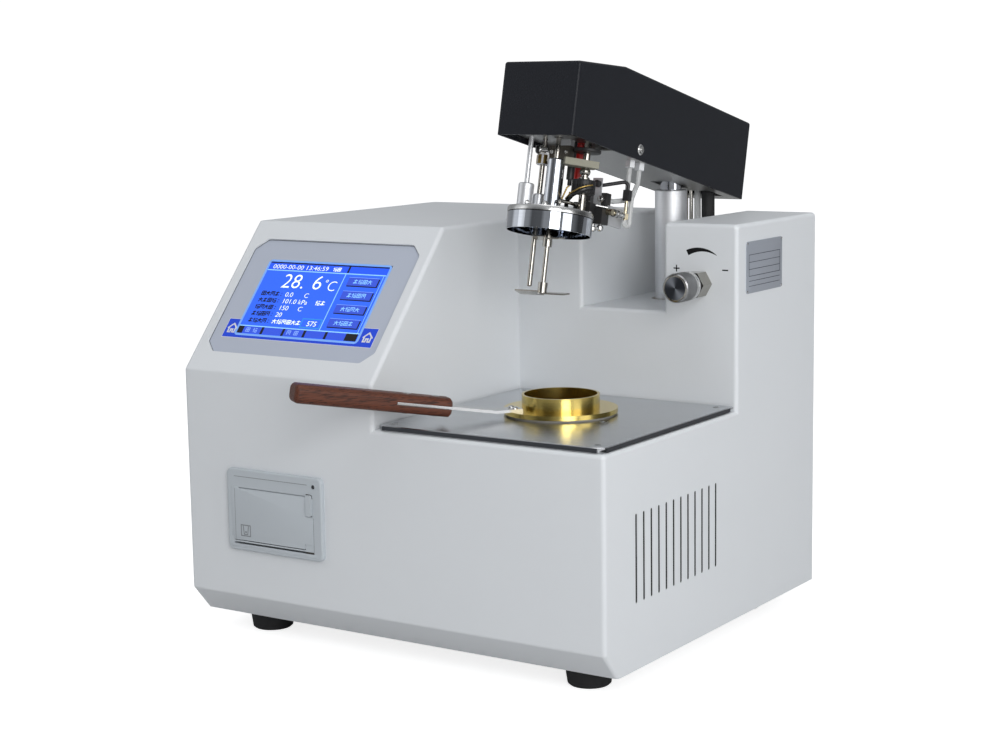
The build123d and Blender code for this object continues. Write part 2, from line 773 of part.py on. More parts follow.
rocker_r = 9.5
rocker_w = 12.0
rocker_pin_r = 1.3
rocker_sink = 3.0  # pivot below the inlet's face
rocker_turn = 8.0
rocker_up = 15.5
rocker_proud = 0.5
rocker_pin_len = 2.6  # pin beyond the rocker's side
rocker_hole_len = 3.0
inlet_rim = 4.0  # flange beside the body
inlet_rim_end = 3.0  # flange above and below it
inlet_rim_t = 2.0
inlet_corner_r = 3.0
inlet_in = 28.0
socket_w = 24.0
socket_h = 16.5
socket_cut = 4.0
socket_d = 17.0
socket_down = 11.0
contact_w = 2.0
contact_h = 4.5
contact_len = 12.0
contact_pitch = 7.0
contact_step = 2.0  # earth contact above, the others below the middle
rocker_z = inlet_z + rocker_up
inlet_face = y_back + inlet_rim_t
rocker_y = inlet_face - rocker_sink
socket_z = inlet_z - socket_down
with BuildPart() as inlet:
    with BuildSketch(Plane.XZ.offset(-y_back)):
        with Locations((inlet_x, inlet_z)):
            RectangleRounded(inlet_w + 2 * inlet_rim, inlet_h + 2 * inlet_rim_end, inlet_corner_r)
    extrude(amount=-inlet_rim_t)
    with BuildSketch(Plane.XZ.offset(-y_back)):
        with Locations((inlet_x, inlet_z)):
            Rectangle(inlet_w - fit_gap, inlet_h - fit_gap)
    extrude(amount=inlet_in)
    # Socket with three flat pins, long sides upright.
    with BuildSketch(Plane.XZ.offset(-inlet_face)):
        with Locations((inlet_x, socket_z)):
            Rectangle(socket_w, socket_h)
            chamfer(vertices().group_by(Axis.Z)[-1], socket_cut)
    extrude(amount=socket_d, mode=Mode.SUBTRACT)
    with BuildSketch(Plane.XZ.offset(socket_d - inlet_face)):
        for side in (-1, 0, 1):
            contact_up = contact_step if side == 0 else -contact_step
            with Locations((inlet_x + side * contact_pitch, socket_z + contact_up)):
                Rectangle(contact_w, contact_h)
    extrude(amount=-contact_len)
    # Window of the rocker and the holes of its pin.
    with BuildSketch(Plane.XZ.offset(-inlet_face)):
        with Locations((inlet_x, rocker_z)):
            Rectangle(rocker_w + 2 * fit_gap, 2 * (rocker_r + fit_gap))
    extrude(amount=rocker_sink + rocker_r + inlet_rim_t, mode=Mode.SUBTRACT)
    with BuildSketch(Plane.YZ.offset(inlet_x)):
        with Locations((rocker_y, rocker_z)):
            Circle(rocker_pin_r + run_gap)
    extrude(amount=rocker_w / 2 + rocker_hole_len, both=True, mode=Mode.SUBTRACT)
finish(inlet, "power_inlet")

with BuildPart() as rocker:
    rocker_side = Plane(origin=(inlet_x, rocker_y, rocker_z), x_dir=(0, 1, 0), z_dir=(1, 0, 0))
    with BuildSketch(Plane(rocker_side.location * Rot(0, 0, rocker_turn))):
        Circle(rocker_r)
        # Two flats that meet in a shallow valley.
        dip = rocker_sink - rocker_proud
        with BuildLine():
            Polyline(
                (dip, 0),
                (dip + rocker_r * tan(radians(rocker_turn)), rocker_r),
                (2 * rocker_r, 2 * rocker_r),
                (2 * rocker_r, -2 * rocker_r),
                (dip + rocker_r * tan(radians(rocker_turn)), -rocker_r),
                close=True,
            )
        make_face(mode=Mode.SUBTRACT)
    extrude(amount=rocker_w / 2, both=True)
    with BuildSketch(rocker_side):
        Circle(rocker_pin_r)
    extrude(amount=rocker_w / 2 + rocker_pin_len, both=True)
finish(rocker, "rocker_switch")

with BuildPart() as gas_inlet:
    with BuildSketch(Plane.XZ.offset(-(y_back + gas_len))):
        with Locations((gas_x, gas_z)):
            Circle(gas_r)
            Circle(gas_r - gas_wall, mode=Mode.SUBTRACT)
    extrude(amount=gas_len + gas_in)
    for seat, sign in ((y_back, 1), (rear_inner, -1)):
        with BuildSketch(Plane.XZ.offset(-seat)):
            with Locations((gas_x, gas_z)):
                RegularPolygon(gas_nut_af / 2, 6, major_radius=False)
                Circle(gas_r - gas_wall / 2, mode=Mode.SUBTRACT)
        extrude(amount=-gas_nut_t * sign)
finish(gas_inlet, "gas_inlet")

# === Power supply on the base pan ===
supply_w = 62.0
supply_len = 130.0
supply_h = 44.0
supply_side = 28.0  # from the power supply to the left housing's inner side
supply_back = 55.0  # from the power supply to the back
supply_edge = 3.0
supply_slots = 6
supply_slot_pitch = 14.0
supply_slot_w = 36.0
supply_slot_h = 4.0
supply_slot_d = 2.0
supply_x = x_step - supply_side - supply_w / 2
supply_y = y_back - supply_back - supply_len / 2
with BuildPart() as supply:
    with BuildSketch(Plane.XY.offset(z_base + sheet)):
        with Locations((supply_x, supply_y)):
            Rectangle(supply_w, supply_len)
    extrude(amount=supply_h)
    chamfer(supply.edges().filter_by(Axis.Y).group_by(Axis.Z)[-1], supply_edge)
    with BuildSketch(Plane.XY.offset(z_base + sheet + supply_h)):
        with Locations((supply_x, supply_y)):
            with GridLocations(0, supply_slot_pitch, 1, supply_slots):
                SlotOverall(supply_slot_w, supply_slot_h)
    extrude(amount=-supply_slot_d, mode=Mode.SUBTRACT)
finish(supply, "power_supply")

# === Column guide, actuator and hose grommet under the ledge ===
ledge_under = z_ledge - sheet
bush_len = 45.0
bush_flange_r = 22.0
bush_flange_t = 3.0
bush_wall = 5.0
bushing = turned(
    [
        (column_r + run_gap, ledge_under),
        (bush_flange_r, ledge_under),
        (bush_flange_r, ledge_under - bush_flange_t),
        (column_r + bush_wall, ledge_under - bush_flange_t),
        (column_r + bush_wall, ledge_under - bush_len),
        (column_r + run_gap, ledge_under - bush_len),
    ],
    test_x,
    column_y,
)
finish(bushing, "column_bushing")

actuator_py = column_y - actuator_y
actuator_flange_w = 46.0
actuator_flange_d = 30.0
actuator_flange_t = 4.0
actuator_cap = 8.0  # closed upper end of the rod's bore
actuator_h = ledge_under - z_base - actuator_low
with BuildPart() as actuator:
    with BuildSketch(Plane.XY.offset(ledge_under)):
        with Locations((test_x, actuator_py)):
            Rectangle(actuator_flange_w, actuator_flange_d)
    extrude(amount=-actuator_flange_t)
    with BuildSketch(Plane.XY.offset(ledge_under - actuator_flange_t)):
        with Locations((test_x, actuator_py)):
            Circle(actuator_r)
    extrude(amount=actuator_flange_t - actuator_h)
    with BuildSketch(Plane.XY.offset(z_base + actuator_low)):
        with Locations((test_x, actuator_py)):
            Circle(rod_r + run_gap)
    extrude(amount=actuator_h - actuator_cap, mode=Mode.SUBTRACT)
finish(actuator, "lift_actuator")

# Hoses behind the column, as offsets from its axis and their radii.
hoses = {
    "guide_rods": ((-6.5, -2.2), 1.5),
    "gas_hose": ((3.2,), 2.5),
    "cable_conduit": ((12.2,), 5.0),
}
hose_low = z_base + column_foot + yoke_t / 2
hose_in = 3.0  # hoses above the arm's underside
hose_top = z_pivot - pivot_h + hose_in
grommet_lap = 5.0
grommet_in = 2.0
grommet_out = 1.5
with BuildPart() as grommet:
    with BuildSketch(Plane.XY.offset(ledge_under - grommet_in)):
        with Locations((hose_x, column_y + hose_y)):
            SlotOverall(ledge_slot_w + grommet_lap, ledge_slot_d + grommet_lap)
    extrude(amount=grommet_in)
    with BuildSketch(Plane.XY.offset(ledge_under)):
        with Locations((hose_x, column_y + hose_y)):
            SlotOverall(ledge_slot_w, ledge_slot_d)
    extrude(amount=sheet)
    with BuildSketch(Plane.XY.offset(z_ledge)):
        with Locations((hose_x, column_y + hose_y)):
            SlotOverall(ledge_slot_w + grommet_lap, ledge_slot_d + grommet_lap)
    extrude(amount=grommet_out)
    with BuildSketch(Plane.XY.offset(z_ledge + grommet_out)):
        for hose_places, hose_r in hoses.values():
            for hose_dx in hose_places:
                with Locations((test_x + hose_dx, column_y + hose_y)):
                    Circle(hose_r + fit_gap)
    extrude(amount=-2 * (grommet_in + sheet + grommet_out), mode=Mode.SUBTRACT)
finish(grommet, "hose_grommet")

for hose_name, (hose_places, hose_r) in hoses.items():
    with BuildPart() as hose:
        with BuildSketch(Plane.XY.offset(hose_low)):
            with Locations(*[(test_x + hose_dx, column_y + hose_y) for hose_dx in hose_places]):
                Circle(hose_r)
        extrude(amount=hose_top - hose_low)
    finish(hose, hose_name)

# === Column: tube, head with eye, pin and yoke ===
tube_edge = 0.6
with BuildPart() as tube:
    with BuildSketch(Plane.XY.offset(z_base + column_foot)):
        with Locations((test_x, column_y)):
            Circle(column_r)
            Circle(column_bore_r, mode=Mode.SUBTRACT)
    extrude(amount=tube_top - z_base - column_foot)
    chamfer(tube.faces().sort_by(Axis.Z)[-1].edges(), tube_edge)
finish(tube, "column_tube")

head_in = 40.0  # length of the head inside the tube
eye_w = 16.0
eye_neck = 2.0  # flats of the eye below its round part
with BuildPart() as column_head:
    with BuildSketch(Plane.XY.offset(tube_top - head_in)):
        with Locations((test_x, column_y)):
            Circle(shaft_r)
    extrude(amount=head_in + head_show - shaft_r - eye_neck)
    with BuildSketch(Plane.YZ.offset(test_x)):
        with Locations((column_y, z_pivot)):
            Circle(shaft_r)
        with Locations((column_y, z_pivot - (shaft_r + eye_neck) / 2)):
            Rectangle(2 * shaft_r, shaft_r + eye_neck)
    extrude(amount=eye_w / 2, both=True)
    with BuildSketch(Plane.YZ.offset(test_x)):
        with Locations((column_y, z_pivot)):
            Circle(pin_r)
    extrude(amount=2 * shaft_r, both=True, mode=Mode.SUBTRACT)
finish(column_head, "column_head")

cheek_t = 3.0
pin_end = 1.5  # pin outside the cheeks
yoke_wall = 5.0
yoke_w = 14.0
yoke_tab_w = 20.0
rod_up = 95.0  # top of the rod above the actuator's lower end
with BuildPart() as pin:
    with BuildSketch(Plane.YZ.offset(test_x)):
        with Locations((column_y, z_pivot)):
            Circle(pin_r)
    extrude(amount=eye_w / 2 + cheek_t + pin_end, both=True)
finish(pin, "pivot_pin")

with BuildPart() as yoke:
    with BuildSketch(Plane.XY.offset(z_base + column_foot)):
        with Locations((test_x, column_y)):
            Circle(column_r + yoke_wall)
        with Locations((test_x, actuator_py)):
            Circle(rod_r + yoke_wall)
        with Locations((test_x, column_y - actuator_y / 2)):
            Rectangle(yoke_w, actuator_y)
        # Rear tab that carries the row of hoses.
        with Locations((hose_x, column_y + hose_y / 2)):
            Rectangle(yoke_tab_w, hose_y)
        with Locations((hose_x, column_y + hose_y)):
            SlotOverall(ledge_slot_w, ledge_slot_d)
        with Locations((test_x, column_y)):
            Circle(column_r, mode=Mode.SUBTRACT)
    extrude(amount=yoke_t)
    with BuildSketch(Plane.XY.offset(hose_low)):
        for hose_places, hose_r in hoses.values():
            for hose_dx in hose_places:
                with Locations((test_x + hose_dx, column_y + hose_y)):
                    Circle(hose_r)
    extrude(amount=yoke_t, mode=Mode.SUBTRACT)
    with BuildSketch(Plane.XY.offset(z_base + column_foot)):
        with Locations((test_x, actuator_py)):
            Circle(rod_r)
    extrude(amount=actuator_low - column_foot + rod_up)
finish(yoke, "lift_yoke")

# === Arm cover and its underside ===
with BuildPart() as arm_cover:
    outline = [
        (-arm_front, 0),
        (-arm_front, arm_nose_h),
        (arm_nose - arm_front, arm_back_h),
        (arm_rear, arm_back_h),
        (arm_rear, 0),
    ]
    with BuildSketch(arm_side(-arm_w / 2)):
        with BuildLine():
            Polyline(*outline, close=True)
        make_face()
    extrude(amount=arm_w)
    lower_edges = arm_cover.faces().sort_by(Axis(arm_pose.position, arm_side(0).y_dir))[0].edges()
    fillet([e for e in arm_cover.edges() if e not in lower_edges], arm_corner_r)
    with BuildSketch(arm_side(sheet - arm_w / 2)):
        with BuildLine():
            Polyline(*outline, close=True)
        make_face()
        offset(amount=-sheet, kind=Kind.INTERSECTION)
        with Locations(((arm_rear - arm_front) / 2, 0)):
            Rectangle(arm_front + arm_rear - 2 * sheet, 4 * sheet)
    extrude(amount=arm_w - 2 * sheet, mode=Mode.SUBTRACT)
finish(arm_cover, "arm_cover")

inner_w = arm_w - 2 * sheet
slot_gap = 1.5  # beside the column's head
slot_half = shaft_r + slot_gap
shaft_hole_gap = 1.5
slot_front = -12.0
slot_rear = 15.0
hose_slot = (27.0, 50.0)
frame_t = 2.0
spindle_x = 15.0
spindle_y = 14.0
spindle_thin_r = 2.5
plate_from = head_gap - arm_front
with BuildPart() as arm_plate:
    with BuildSketch(on_arm(0)):
        with Locations((0, (plate_from + arm_rear - sheet) / 2)):
            Rectangle(inner_w, arm_rear - sheet - plate_from)
        with Locations((0, (slot_front + slot_rear) / 2)):
            Rectangle(2 * slot_half, slot_rear - slot_front, mode=Mode.SUBTRACT)
        with Locations((hose_x - test_x, sum(hose_slot) / 2)):
            Rectangle(ledge_slot_w, hose_slot[1] - hose_slot[0], mode=Mode.SUBTRACT)
    extrude(amount=sheet)
    # Riser and the raised floor over the open bay at the nose.
    with BuildSketch(on_arm(0)):
        with Locations((0, plate_from + sheet / 2)):
            Rectangle(inner_w, sheet)
    extrude(amount=bay_floor + frame_t)
    with BuildSketch(on_arm(bay_floor)):
        with Locations((0, (plate_from - arm_front) / 2 + sheet)):
            Rectangle(inner_w, head_gap)
    extrude(amount=frame_t)
    with BuildSketch(on_head(bay_floor)):
        Circle(shaft_thin_r + shaft_hole_gap)
        with Locations((spindle_x, spindle_y)):
            Circle(spindle_thin_r + shaft_gap)
    extrude(amount=frame_t, mode=Mode.SUBTRACT)
finish(arm_plate, "arm_plate")

bracket_len = 30.0
bracket_base_t = 2.0
cheek_wall = 5.0  # round the pivot pin
cheek_r = pin_r + cheek_wall
cheek_foot_w = 10.0
cheek_foot_in = 1.0  # overlap of the foot with its cheek
cheek_out = eye_w / 2 + fit_gap + cheek_t
with BuildPart() as pivot_bracket:
    with BuildSketch(on_arm(sheet)):
        Rectangle(inner_w - bracket_base_t, bracket_len)
        with Locations((0, (slot_front + slot_rear) / 2)):
            Rectangle(2 * slot_half, slot_rear - slot_front, mode=Mode.SUBTRACT)
    extrude(amount=bracket_base_t)
    for side in (-1, 1):
        cheek_x = side * (cheek_out - cheek_t / 2)
        with BuildSketch(arm_side(cheek_x - cheek_t / 2)):
            with Locations((0, pivot_h)):
                Circle(cheek_r)
            with Locations((0, (sheet + pivot_h) / 2)):
                Rectangle(2 * cheek_r, pivot_h - sheet)
            with Locations((0, pivot_h)):
                Circle(pin_r + run_gap, mode=Mode.SUBTRACT)
        extrude(amount=cheek_t)
        # Outward foot that joins the cheek to the base over the slot.
        with BuildSketch(on_arm(sheet)):
            with Locations((side * (cheek_out + cheek_foot_w / 2 - cheek_foot_in), 0)):
                Rectangle(cheek_foot_w, 2 * cheek_r)
        extrude(amount=bracket_base_t)
finish(pivot_bracket, "pivot_bracket")

motor_r = 17.0
motor_h = 36.0
motor_edge = 1.5
shaft_in = 10.0  # bore for the stirrer's shaft
with BuildPart() as stir_motor:
    with BuildSketch(on_head(bay_floor + frame_t)):
        Circle(motor_r)
    extrude(amount=motor_h)
    with BuildSketch(on_head(bay_floor + frame_t)):
        Circle(shaft_thin_r + shaft_gap)
    extrude(amount=shaft_in, mode=Mode.SUBTRACT)
    chamfer(stir_motor.faces().sort_by(Axis.Z)[-1].edges(), motor_edge)
finish(stir_motor, "stirrer_motor")


# === Test cover and what stands on it ===
def head_turned(outline, x=0.0, y=0.0):
    """Revolve an outline of radius and height points about an upright axis of the head."""
    plane = Plane(arm_pose * Pos(x, y - arm_reach, 0) * Rot(90, 0, 0))
    with BuildPart() as piece:
        with BuildSketch(plane):
            with BuildLine():
                Polyline(*outline, close=True)
            make_face()
        revolve(axis=Axis(plane.origin, plane.y_dir))
    return piece


rim_z = -cover_drop
cover_top = rim_z + cover_h
seat_z = rim_z + cover_seat + fit_gap
probe_x = -14.0
probe_y = 5.0
probe_r = 1.75
port_x = 10.0  # aperture for the flame
port_y = -6.0
port_r = 4.0
lid_t = 3.0  # thickness of the cover's top
lid_inset = 1.0  # lid inside the cup's bore
probe_gap = 0.1
groove_w = 0.7  # under the cover's top rim
groove_d = 0.6
with BuildPart() as cover:
    add(
        head_turned(
            [
                (shaft_thin_r + shaft_gap, cover_top),
                (cover_top_r, cover_top),
                (cover_top_r, cover_top - cover_top_t),
                (cover_top_r - groove_d, cover_top - cover_top_t),
                (cover_top_r - groove_d, cover_top - cover_top_t - groove_w),
                (cover_r, cover_top - cover_top_t - groove_w),
                (cover_r, rim_z),
                (cover_r - skirt_t, rim_z),
                (cover_r - skirt_t, seat_z),
                (cup_bore_r - lid_inset, seat_z),
                (cup_bore_r - lid_inset, cover_top - lid_t),
                (shaft_thin_r + shaft_gap, cover_top - lid_t),
            ]
        ).part
    )
    with BuildSketch(on_head(cover_top)):
        with Locations((port_x, port_y)):
            Circle(port_r)
        with Locations((probe_x, probe_y)):
            Circle(probe_r + probe_gap)
    extrude(amount=-2 * lid_t, mode=Mode.SUBTRACT)
finish(cover, "test_cover")

housing_edge = 1.0
drive_housing = head_turned(
    [
        (shaft_thin_r + shaft_gap, cover_top),
        (housing_r, cover_top),
        (housing_r, -housing_top - housing_edge),
        (housing_r - housing_edge, -housing_top),
        (shaft_thin_r + shaft_gap, -housing_top),
    ]
)
finish(drive_housing, "drive_housing")

gland_r = 4.0
gland_h = 12.0
gland_edge = 0.8
probe_nut_r = 4.0
probe_nut_h = 8.0
probe_nut_z = -14.0
with BuildPart() as probe_gland:
    with BuildSketch(on_head(cover_top, probe_x, probe_y)):
        Circle(gland_r)
        Circle(probe_r + probe_gap, mode=Mode.SUBTRACT)
    extrude(amount=gland_h)
    chamfer(probe_gland.edges().sort_by(SortBy.LENGTH)[-2:], gland_edge)
    # Locking nut higher up on the probe.
    with BuildSketch(on_head(probe_nut_z, probe_x, probe_y)):
        RegularPolygon(probe_nut_r, 6, major_radius=False)
        Circle(probe_r + probe_gap, mode=Mode.SUBTRACT)
    extrude(amount=probe_nut_h)
finish(probe_gland, "probe_gland")

probe_low = -97.5
probe_tip_r = 0.8
with BuildPart() as probe:
    with BuildSketch(on_head(probe_low, probe_x, probe_y)):
        Circle(probe_r)
    extrude(amount=bay_floor - probe_low)
    fillet(probe.faces().sort_by(Axis.Z)[0].edges(), probe_tip_r)
finish(probe, "temperature_probe")

detector_x = -20.0
detector_y = -3.0
detector_r = 5.4
detector_h = 18.0
detector_edge = 0.8
detector_rod_r = 1.7
detector = head_turned(
    [
        (0, cover_top),
        (detector_r, cover_top),
        (detector_r, cover_top + detector_h - detector_edge),
        (detector_r - detector_edge, cover_top + detector_h),
        (detector_rod_r, cover_top + detector_h),
        (detector_rod_r, bay_floor),
        (0, bay_floor),
    ],
    detector_x,
    detector_y,
)
finish(detector, "flash_detector")

# === Igniter group: cream bar, posts, igniter, spring housing ===
cream_low = -14.0
cream_t = 4.7
cream_x = 12.2  # middle of the bar
cream_y = 10.0
cream_len = 25.0
cream_w = 10.0
cream_turn = 54.0  # bar turned from the arm's width
housing_play = 0.5
hanger_x = -10.0
hanger_y = 20.0
hanger_r = 2.0
coil_z = -22.2
coil_x = 5.2
coil_y = 21.5
coil_r = 3.1
lead_x = 3.4  # black lead beside the igniter
lead_y = 14.2
lead_r = 2.6
lead_tip_r = 1.5
lead_tip_h = 4.0
with BuildPart() as cream:
    with BuildSketch(on_head(cream_low)):
        with Locations(Pos(cream_x, cream_y) * Rot(0, 0, cream_turn)):
            Rectangle(cream_len, cream_w)
        Circle(housing_r + housing_play, mode=Mode.SUBTRACT)
        with Locations((spindle_x, spindle_y)):
            Circle(spindle_thin_r + shaft_gap, mode=Mode.SUBTRACT)
    extrude(amount=cream_t)
finish(cream, "insulating_plate")

with BuildPart() as posts:
    with BuildSketch(on_head(cover_top, hanger_x, hanger_y)):
        Circle(hanger_r)
    extrude(amount=bay_floor - cover_top)
finish(posts, "support_posts")

with BuildPart() as coil:
    with BuildSketch(on_head(coil_z, coil_x, coil_y)):
        Circle(coil_r)
    extrude(amount=bay_floor - coil_z)
finish(coil, "igniter_coil")

drum_h = 9.6
drum_r = 7.8
rib_count = 2
rib_d = 0.8
rib_gap = drum_h / rib_count
drum_top = -22.4
drum_low = drum_top - drum_h
drum_outline = [(spindle_thin_r + shaft_gap, drum_low), (drum_r - rib_d, drum_low)]
for rib in range(rib_count):
    low = drum_low + rib * rib_gap
    drum_outline += [
        (drum_r, low + rib_gap / 4),
        (drum_r, low + rib_gap * 3 / 4),
        (drum_r - rib_d, low + rib_gap),
    ]
drum_outline.append((spindle_thin_r + shaft_gap, drum_top))
drum = head_turned(drum_outline, spindle_x, spindle_y)
# Black lead that hangs beside the drum.
lead = head_turned(
    [
        (0, coil_z - lead_tip_h),
        (lead_tip_r, coil_z - lead_tip_h),
        (lead_tip_r, coil_z),
        (lead_r, coil_z),
        (lead_r, bay_floor),
        (0, bay_floor),
    ],
    lead_x,
    lead_y,
)
with BuildPart() as spring_housing:
    add(drum.part)
    add(lead.part)
finish(spring_housing, "spring_housing")

# === Shutter: spindle with a disc, and the plate over the aperture ===
shutter_gap = 0.3
shutter_t = 1.5
shutter_hub_r = 5.0
shutter_lap = 1.0  # plate beyond the aperture
shutter_neck = 4.0  # half the width between hub and aperture
disc_z = -2.5
disc_r = 9.0
disc_t = 0.9
spindle_end = 1.0  # spindle above the bay's floor plate
with BuildPart() as shutter:
    with BuildSketch(on_head(cover_top + shutter_gap)):
        with Locations((spindle_x, spindle_y)):
            Circle(shutter_hub_r)
        with Locations((port_x, port_y)):
            Circle(port_r + shutter_lap)
        with BuildLine():
            across = Vector(port_y - spindle_y, spindle_x - port_x).normalized() * shutter_neck
            near = Vector(spindle_x, spindle_y)
            far = Vector(port_x, port_y)
            Polyline(near + across, far + across, far - across, near - across, close=True)
        make_face()
    extrude(amount=shutter_t)
    # Spindle with its driven disc.
    with BuildSketch(on_head(cover_top + shutter_gap + shutter_t, spindle_x, spindle_y)):
        Circle(spindle_thin_r)
    extrude(amount=bay_floor + frame_t + spindle_end - cover_top - shutter_gap - shutter_t)
    with BuildSketch(on_head(disc_z, spindle_x, spindle_y)):
        Circle(disc_r)
    extrude(amount=disc_t)
finish(shutter, "shutter")

# === Gas block with nozzle, solenoid block and brackets behind the cover ===
block_from = 22.3
block_to = 36.5
block_left = 3.5
block_right = 16.5
block_top = -36.0
nozzle_y = 26.5
nozzle_z = -39.0
nozzle_r = 1.2
nozzle_tube_r = 2.2
nozzle_pin_r = 1.5
nozzle_gap_w = 7.0
bracket_t = 1.5
fork_d = 8.0
nozzle_hole_len = 2.4
nozzle_pin_len = 2.0
nozzle_drop = 0.6
nozzle_bend_r = 1.8
tip_gap = 2.5  # nozzle above the shutter
valve_left = 6.0  # small valve on the gas block
valve_right = 11.5
valve_from = 30.5
valve_top = -27.0
ear_left = 9.2
ear_right = 16.4
ear_top = -17.0
solenoid_low = -49.5
solenoid_from = 29.0
solenoid_to = 38.0
solenoid_right = 22.8
solenoid_top = -38.5
pilot_left = 14.6
pilot_right = 20.4
pilot_from = 37.0
pilot_to = 43.0
pilot_low = -35.0
pilot_top = -27.0
neck_left = 17.0
neck_low = -45.0
plate_x = 21.0  # bracket plate behind the solenoid block
plate_t = 2.0
plate_back = 56.0
plate_low = -49.0
plate_top = -35.5
gear_left = -6.0  # gear block under the bay's floor
gear_right = 5.9
gear_from = 6.0
gear_to = 11.2


def head_box(left, right, front, back, low, high):
    """A box between two corners of the head's frame."""
    with BuildPart() as piece:
        with BuildSketch(on_head(low)):
            with Locations(((left + right) / 2, (front + back) / 2)):
                Rectangle(right - left, back - front)
        extrude(amount=high - low)
    return piece.part


with BuildPart() as gas_block:
    add(head_box(block_left, block_right, block_from, block_to, cover_top, block_top))
    # Fork that holds the nozzle.
    with BuildSketch(on_head(cover_top)):
        with Locations((port_x, block_from + fork_d / 2)):
            Rectangle(nozzle_gap_w, fork_d)
    extrude(amount=block_top - cover_top, mode=Mode.SUBTRACT)
    with BuildSketch(arm_side(port_x, -arm_reach)):
        with Locations((nozzle_y, nozzle_z)):
            Circle(nozzle_pin_r + run_gap)
    extrude(amount=nozzle_gap_w / 2 + nozzle_hole_len, both=True, mode=Mode.SUBTRACT)
    valve_back = block_to - bracket_t - fit_gap
    add(head_box(valve_left, valve_right, valve_from, valve_back, block_top, valve_top))
finish(gas_block, "gas_block")

tip_z = cover_top + shutter_gap + shutter_t + tip_gap
with BuildPart() as nozzle:
    with BuildLine():
        nozzle_path = FilletPolyline(
            head_point(port_x, nozzle_y, nozzle_z),
            head_point(port_x, port_y, nozzle_z - nozzle_drop),
            head_point(port_x, port_y, tip_z),
            radius=nozzle_bend_r,
        )
    with BuildSketch(Plane(origin=nozzle_path @ 0, z_dir=nozzle_path % 0)):
        Circle(nozzle_r)
    sweep()
    with BuildSketch(arm_side(port_x, -arm_reach)):
        with Locations((nozzle_y, nozzle_z)):
            Circle(nozzle_tube_r)
    extrude(amount=nozzle_gap_w / 2 - fit_gap, both=True)
    with BuildSketch(arm_side(port_x, -arm_reach)):
        with Locations((nozzle_y, nozzle_z)):
            Circle(nozzle_pin_r)
    extrude(amount=nozzle_gap_w / 2 + nozzle_pin_len, both=True)
finish(nozzle, "flame_nozzle")

with BuildPart() as solenoid:
    block_side = block_right + fit_gap
    neck_right = plate_x - fit_gap
    add(head_box(block_side, solenoid_right, solenoid_from, solenoid_to, solenoid_low, solenoid_top))
    add(head_box(neck_left, neck_right, solenoid_to - plate_t, pilot_to, neck_low, pilot_low))
    add(head_box(pilot_left, pilot_right, pilot_from, pilot_to, pilot_low, pilot_top))
finish(solenoid, "solenoid_block")

with BuildPart() as bracket:
    plate_front = solenoid_to + fit_gap
    ear_low = block_top + fit_gap
    gear_low = cream_low + cream_t + fit_gap
    add(head_box(plate_x, plate_x + plate_t, plate_front, plate_back, plate_low, plate_top))
    add(head_box(ear_left, ear_right, block_to - bracket_t, block_to, ear_low, ear_top))
    add(head_box(gear_left, gear_right, gear_from, gear_to, gear_low, bay_floor))
finish(bracket, "head_bracket")

# === Gas pipe, clamp, tee and clear hoses ===
pipe_r = 1.3
pipe_bend_r = 3.0
pipe_x = 14.1
pipe_z = -21.3
pipe_lead = 4.0  # straight start of the pipe
pipe_crown = -15.8  # top of the bend
clamp_half = 2.3
clamp_low = -29.5
clamp_top = -22.0
tee_x = 26.0
tee_y = 55.0
tee_low = -43.0
branch_z = -40.5
branch_to = 35.0
banjo_r = 2.2
banjo_len = 4.6
tee_hex_r = 2.2
tee_hex_h = 4.0


def head_path(points, bends):
    """Straight runs joined by arcs, through points of the head's frame."""
    return FilletPolyline(*[head_point(*point) for point in points], radius=bends)


with BuildPart() as pipe:
    with BuildLine():
        run = head_path(
            [
                (pipe_x, block_to + fit_gap, pipe_z),
                (pipe_x, block_to + pipe_lead, pipe_z),
                (tee_x, tee_y, pipe_crown),
                (tee_x, tee_y, clamp_top),
            ],
            pipe_bend_r,
        )
    with BuildSketch(Plane(origin=run @ 0, z_dir=run % 0)):
        Circle(pipe_r)
    sweep()
finish(pipe, "gas_pipe")

with BuildPart() as clamp:
    with BuildSketch(on_head(clamp_low)):
        with Locations((tee_x, tee_y)):
            Rectangle(2 * clamp_half, 2 * clamp_half)
    extrude(amount=clamp_top - clamp_low)
finish(clamp, "pipe_clamp")

with BuildPart() as tee:
    with BuildSketch(on_head(tee_low, tee_x, tee_y)):
        Circle(pipe_r)
    extrude(amount=clamp_low - tee_low)
    with BuildSketch(Plane(origin=head_point(tee_x, branch_to, branch_z), z_dir=on_head(0).y_dir)):
        Circle(pipe_r)
    extrude(amount=tee_y - branch_to)
    with BuildSketch(arm_side(solenoid_right + fit_gap, -arm_reach)):
        with Locations((branch_to, branch_z)):
            Circle(banjo_r)
    extrude(amount=banjo_len)
    with BuildSketch(on_head(branch_z - tee_hex_h / 2, tee_x, tee_y)):
        RegularPolygon(tee_hex_r, 6, major_radius=False)
    extrude(amount=tee_hex_h)
finish(tee, "gas_tee")

nut_h = 5.0
hose_nut_r = 3.2
clear_r = 1.7
hose_nuts = [(21.5, 62.0), (23.0, 72.8)]
left_turn_z = -28.0  # where the left hose turns to the pilot block
pilot_port_x = 17.8
pilot_port_z = -31.0
pilot_lead = 7.0
right_turn_z = -14.0
loop_x = 26.4
loop_y = 60.7
loop_top = -27.0
loop_low = -46.8  # lowest turn of the right hose
wide_bend = 4.0
tight_bend = 2.6
with BuildPart() as nuts:
    with BuildSketch(on_head(-nut_h)):
        with Locations(*hose_nuts):
            RegularPolygon(hose_nut_r, 6, major_radius=False)
    extrude(amount=nut_h)
finish(nuts, "hose_nuts")

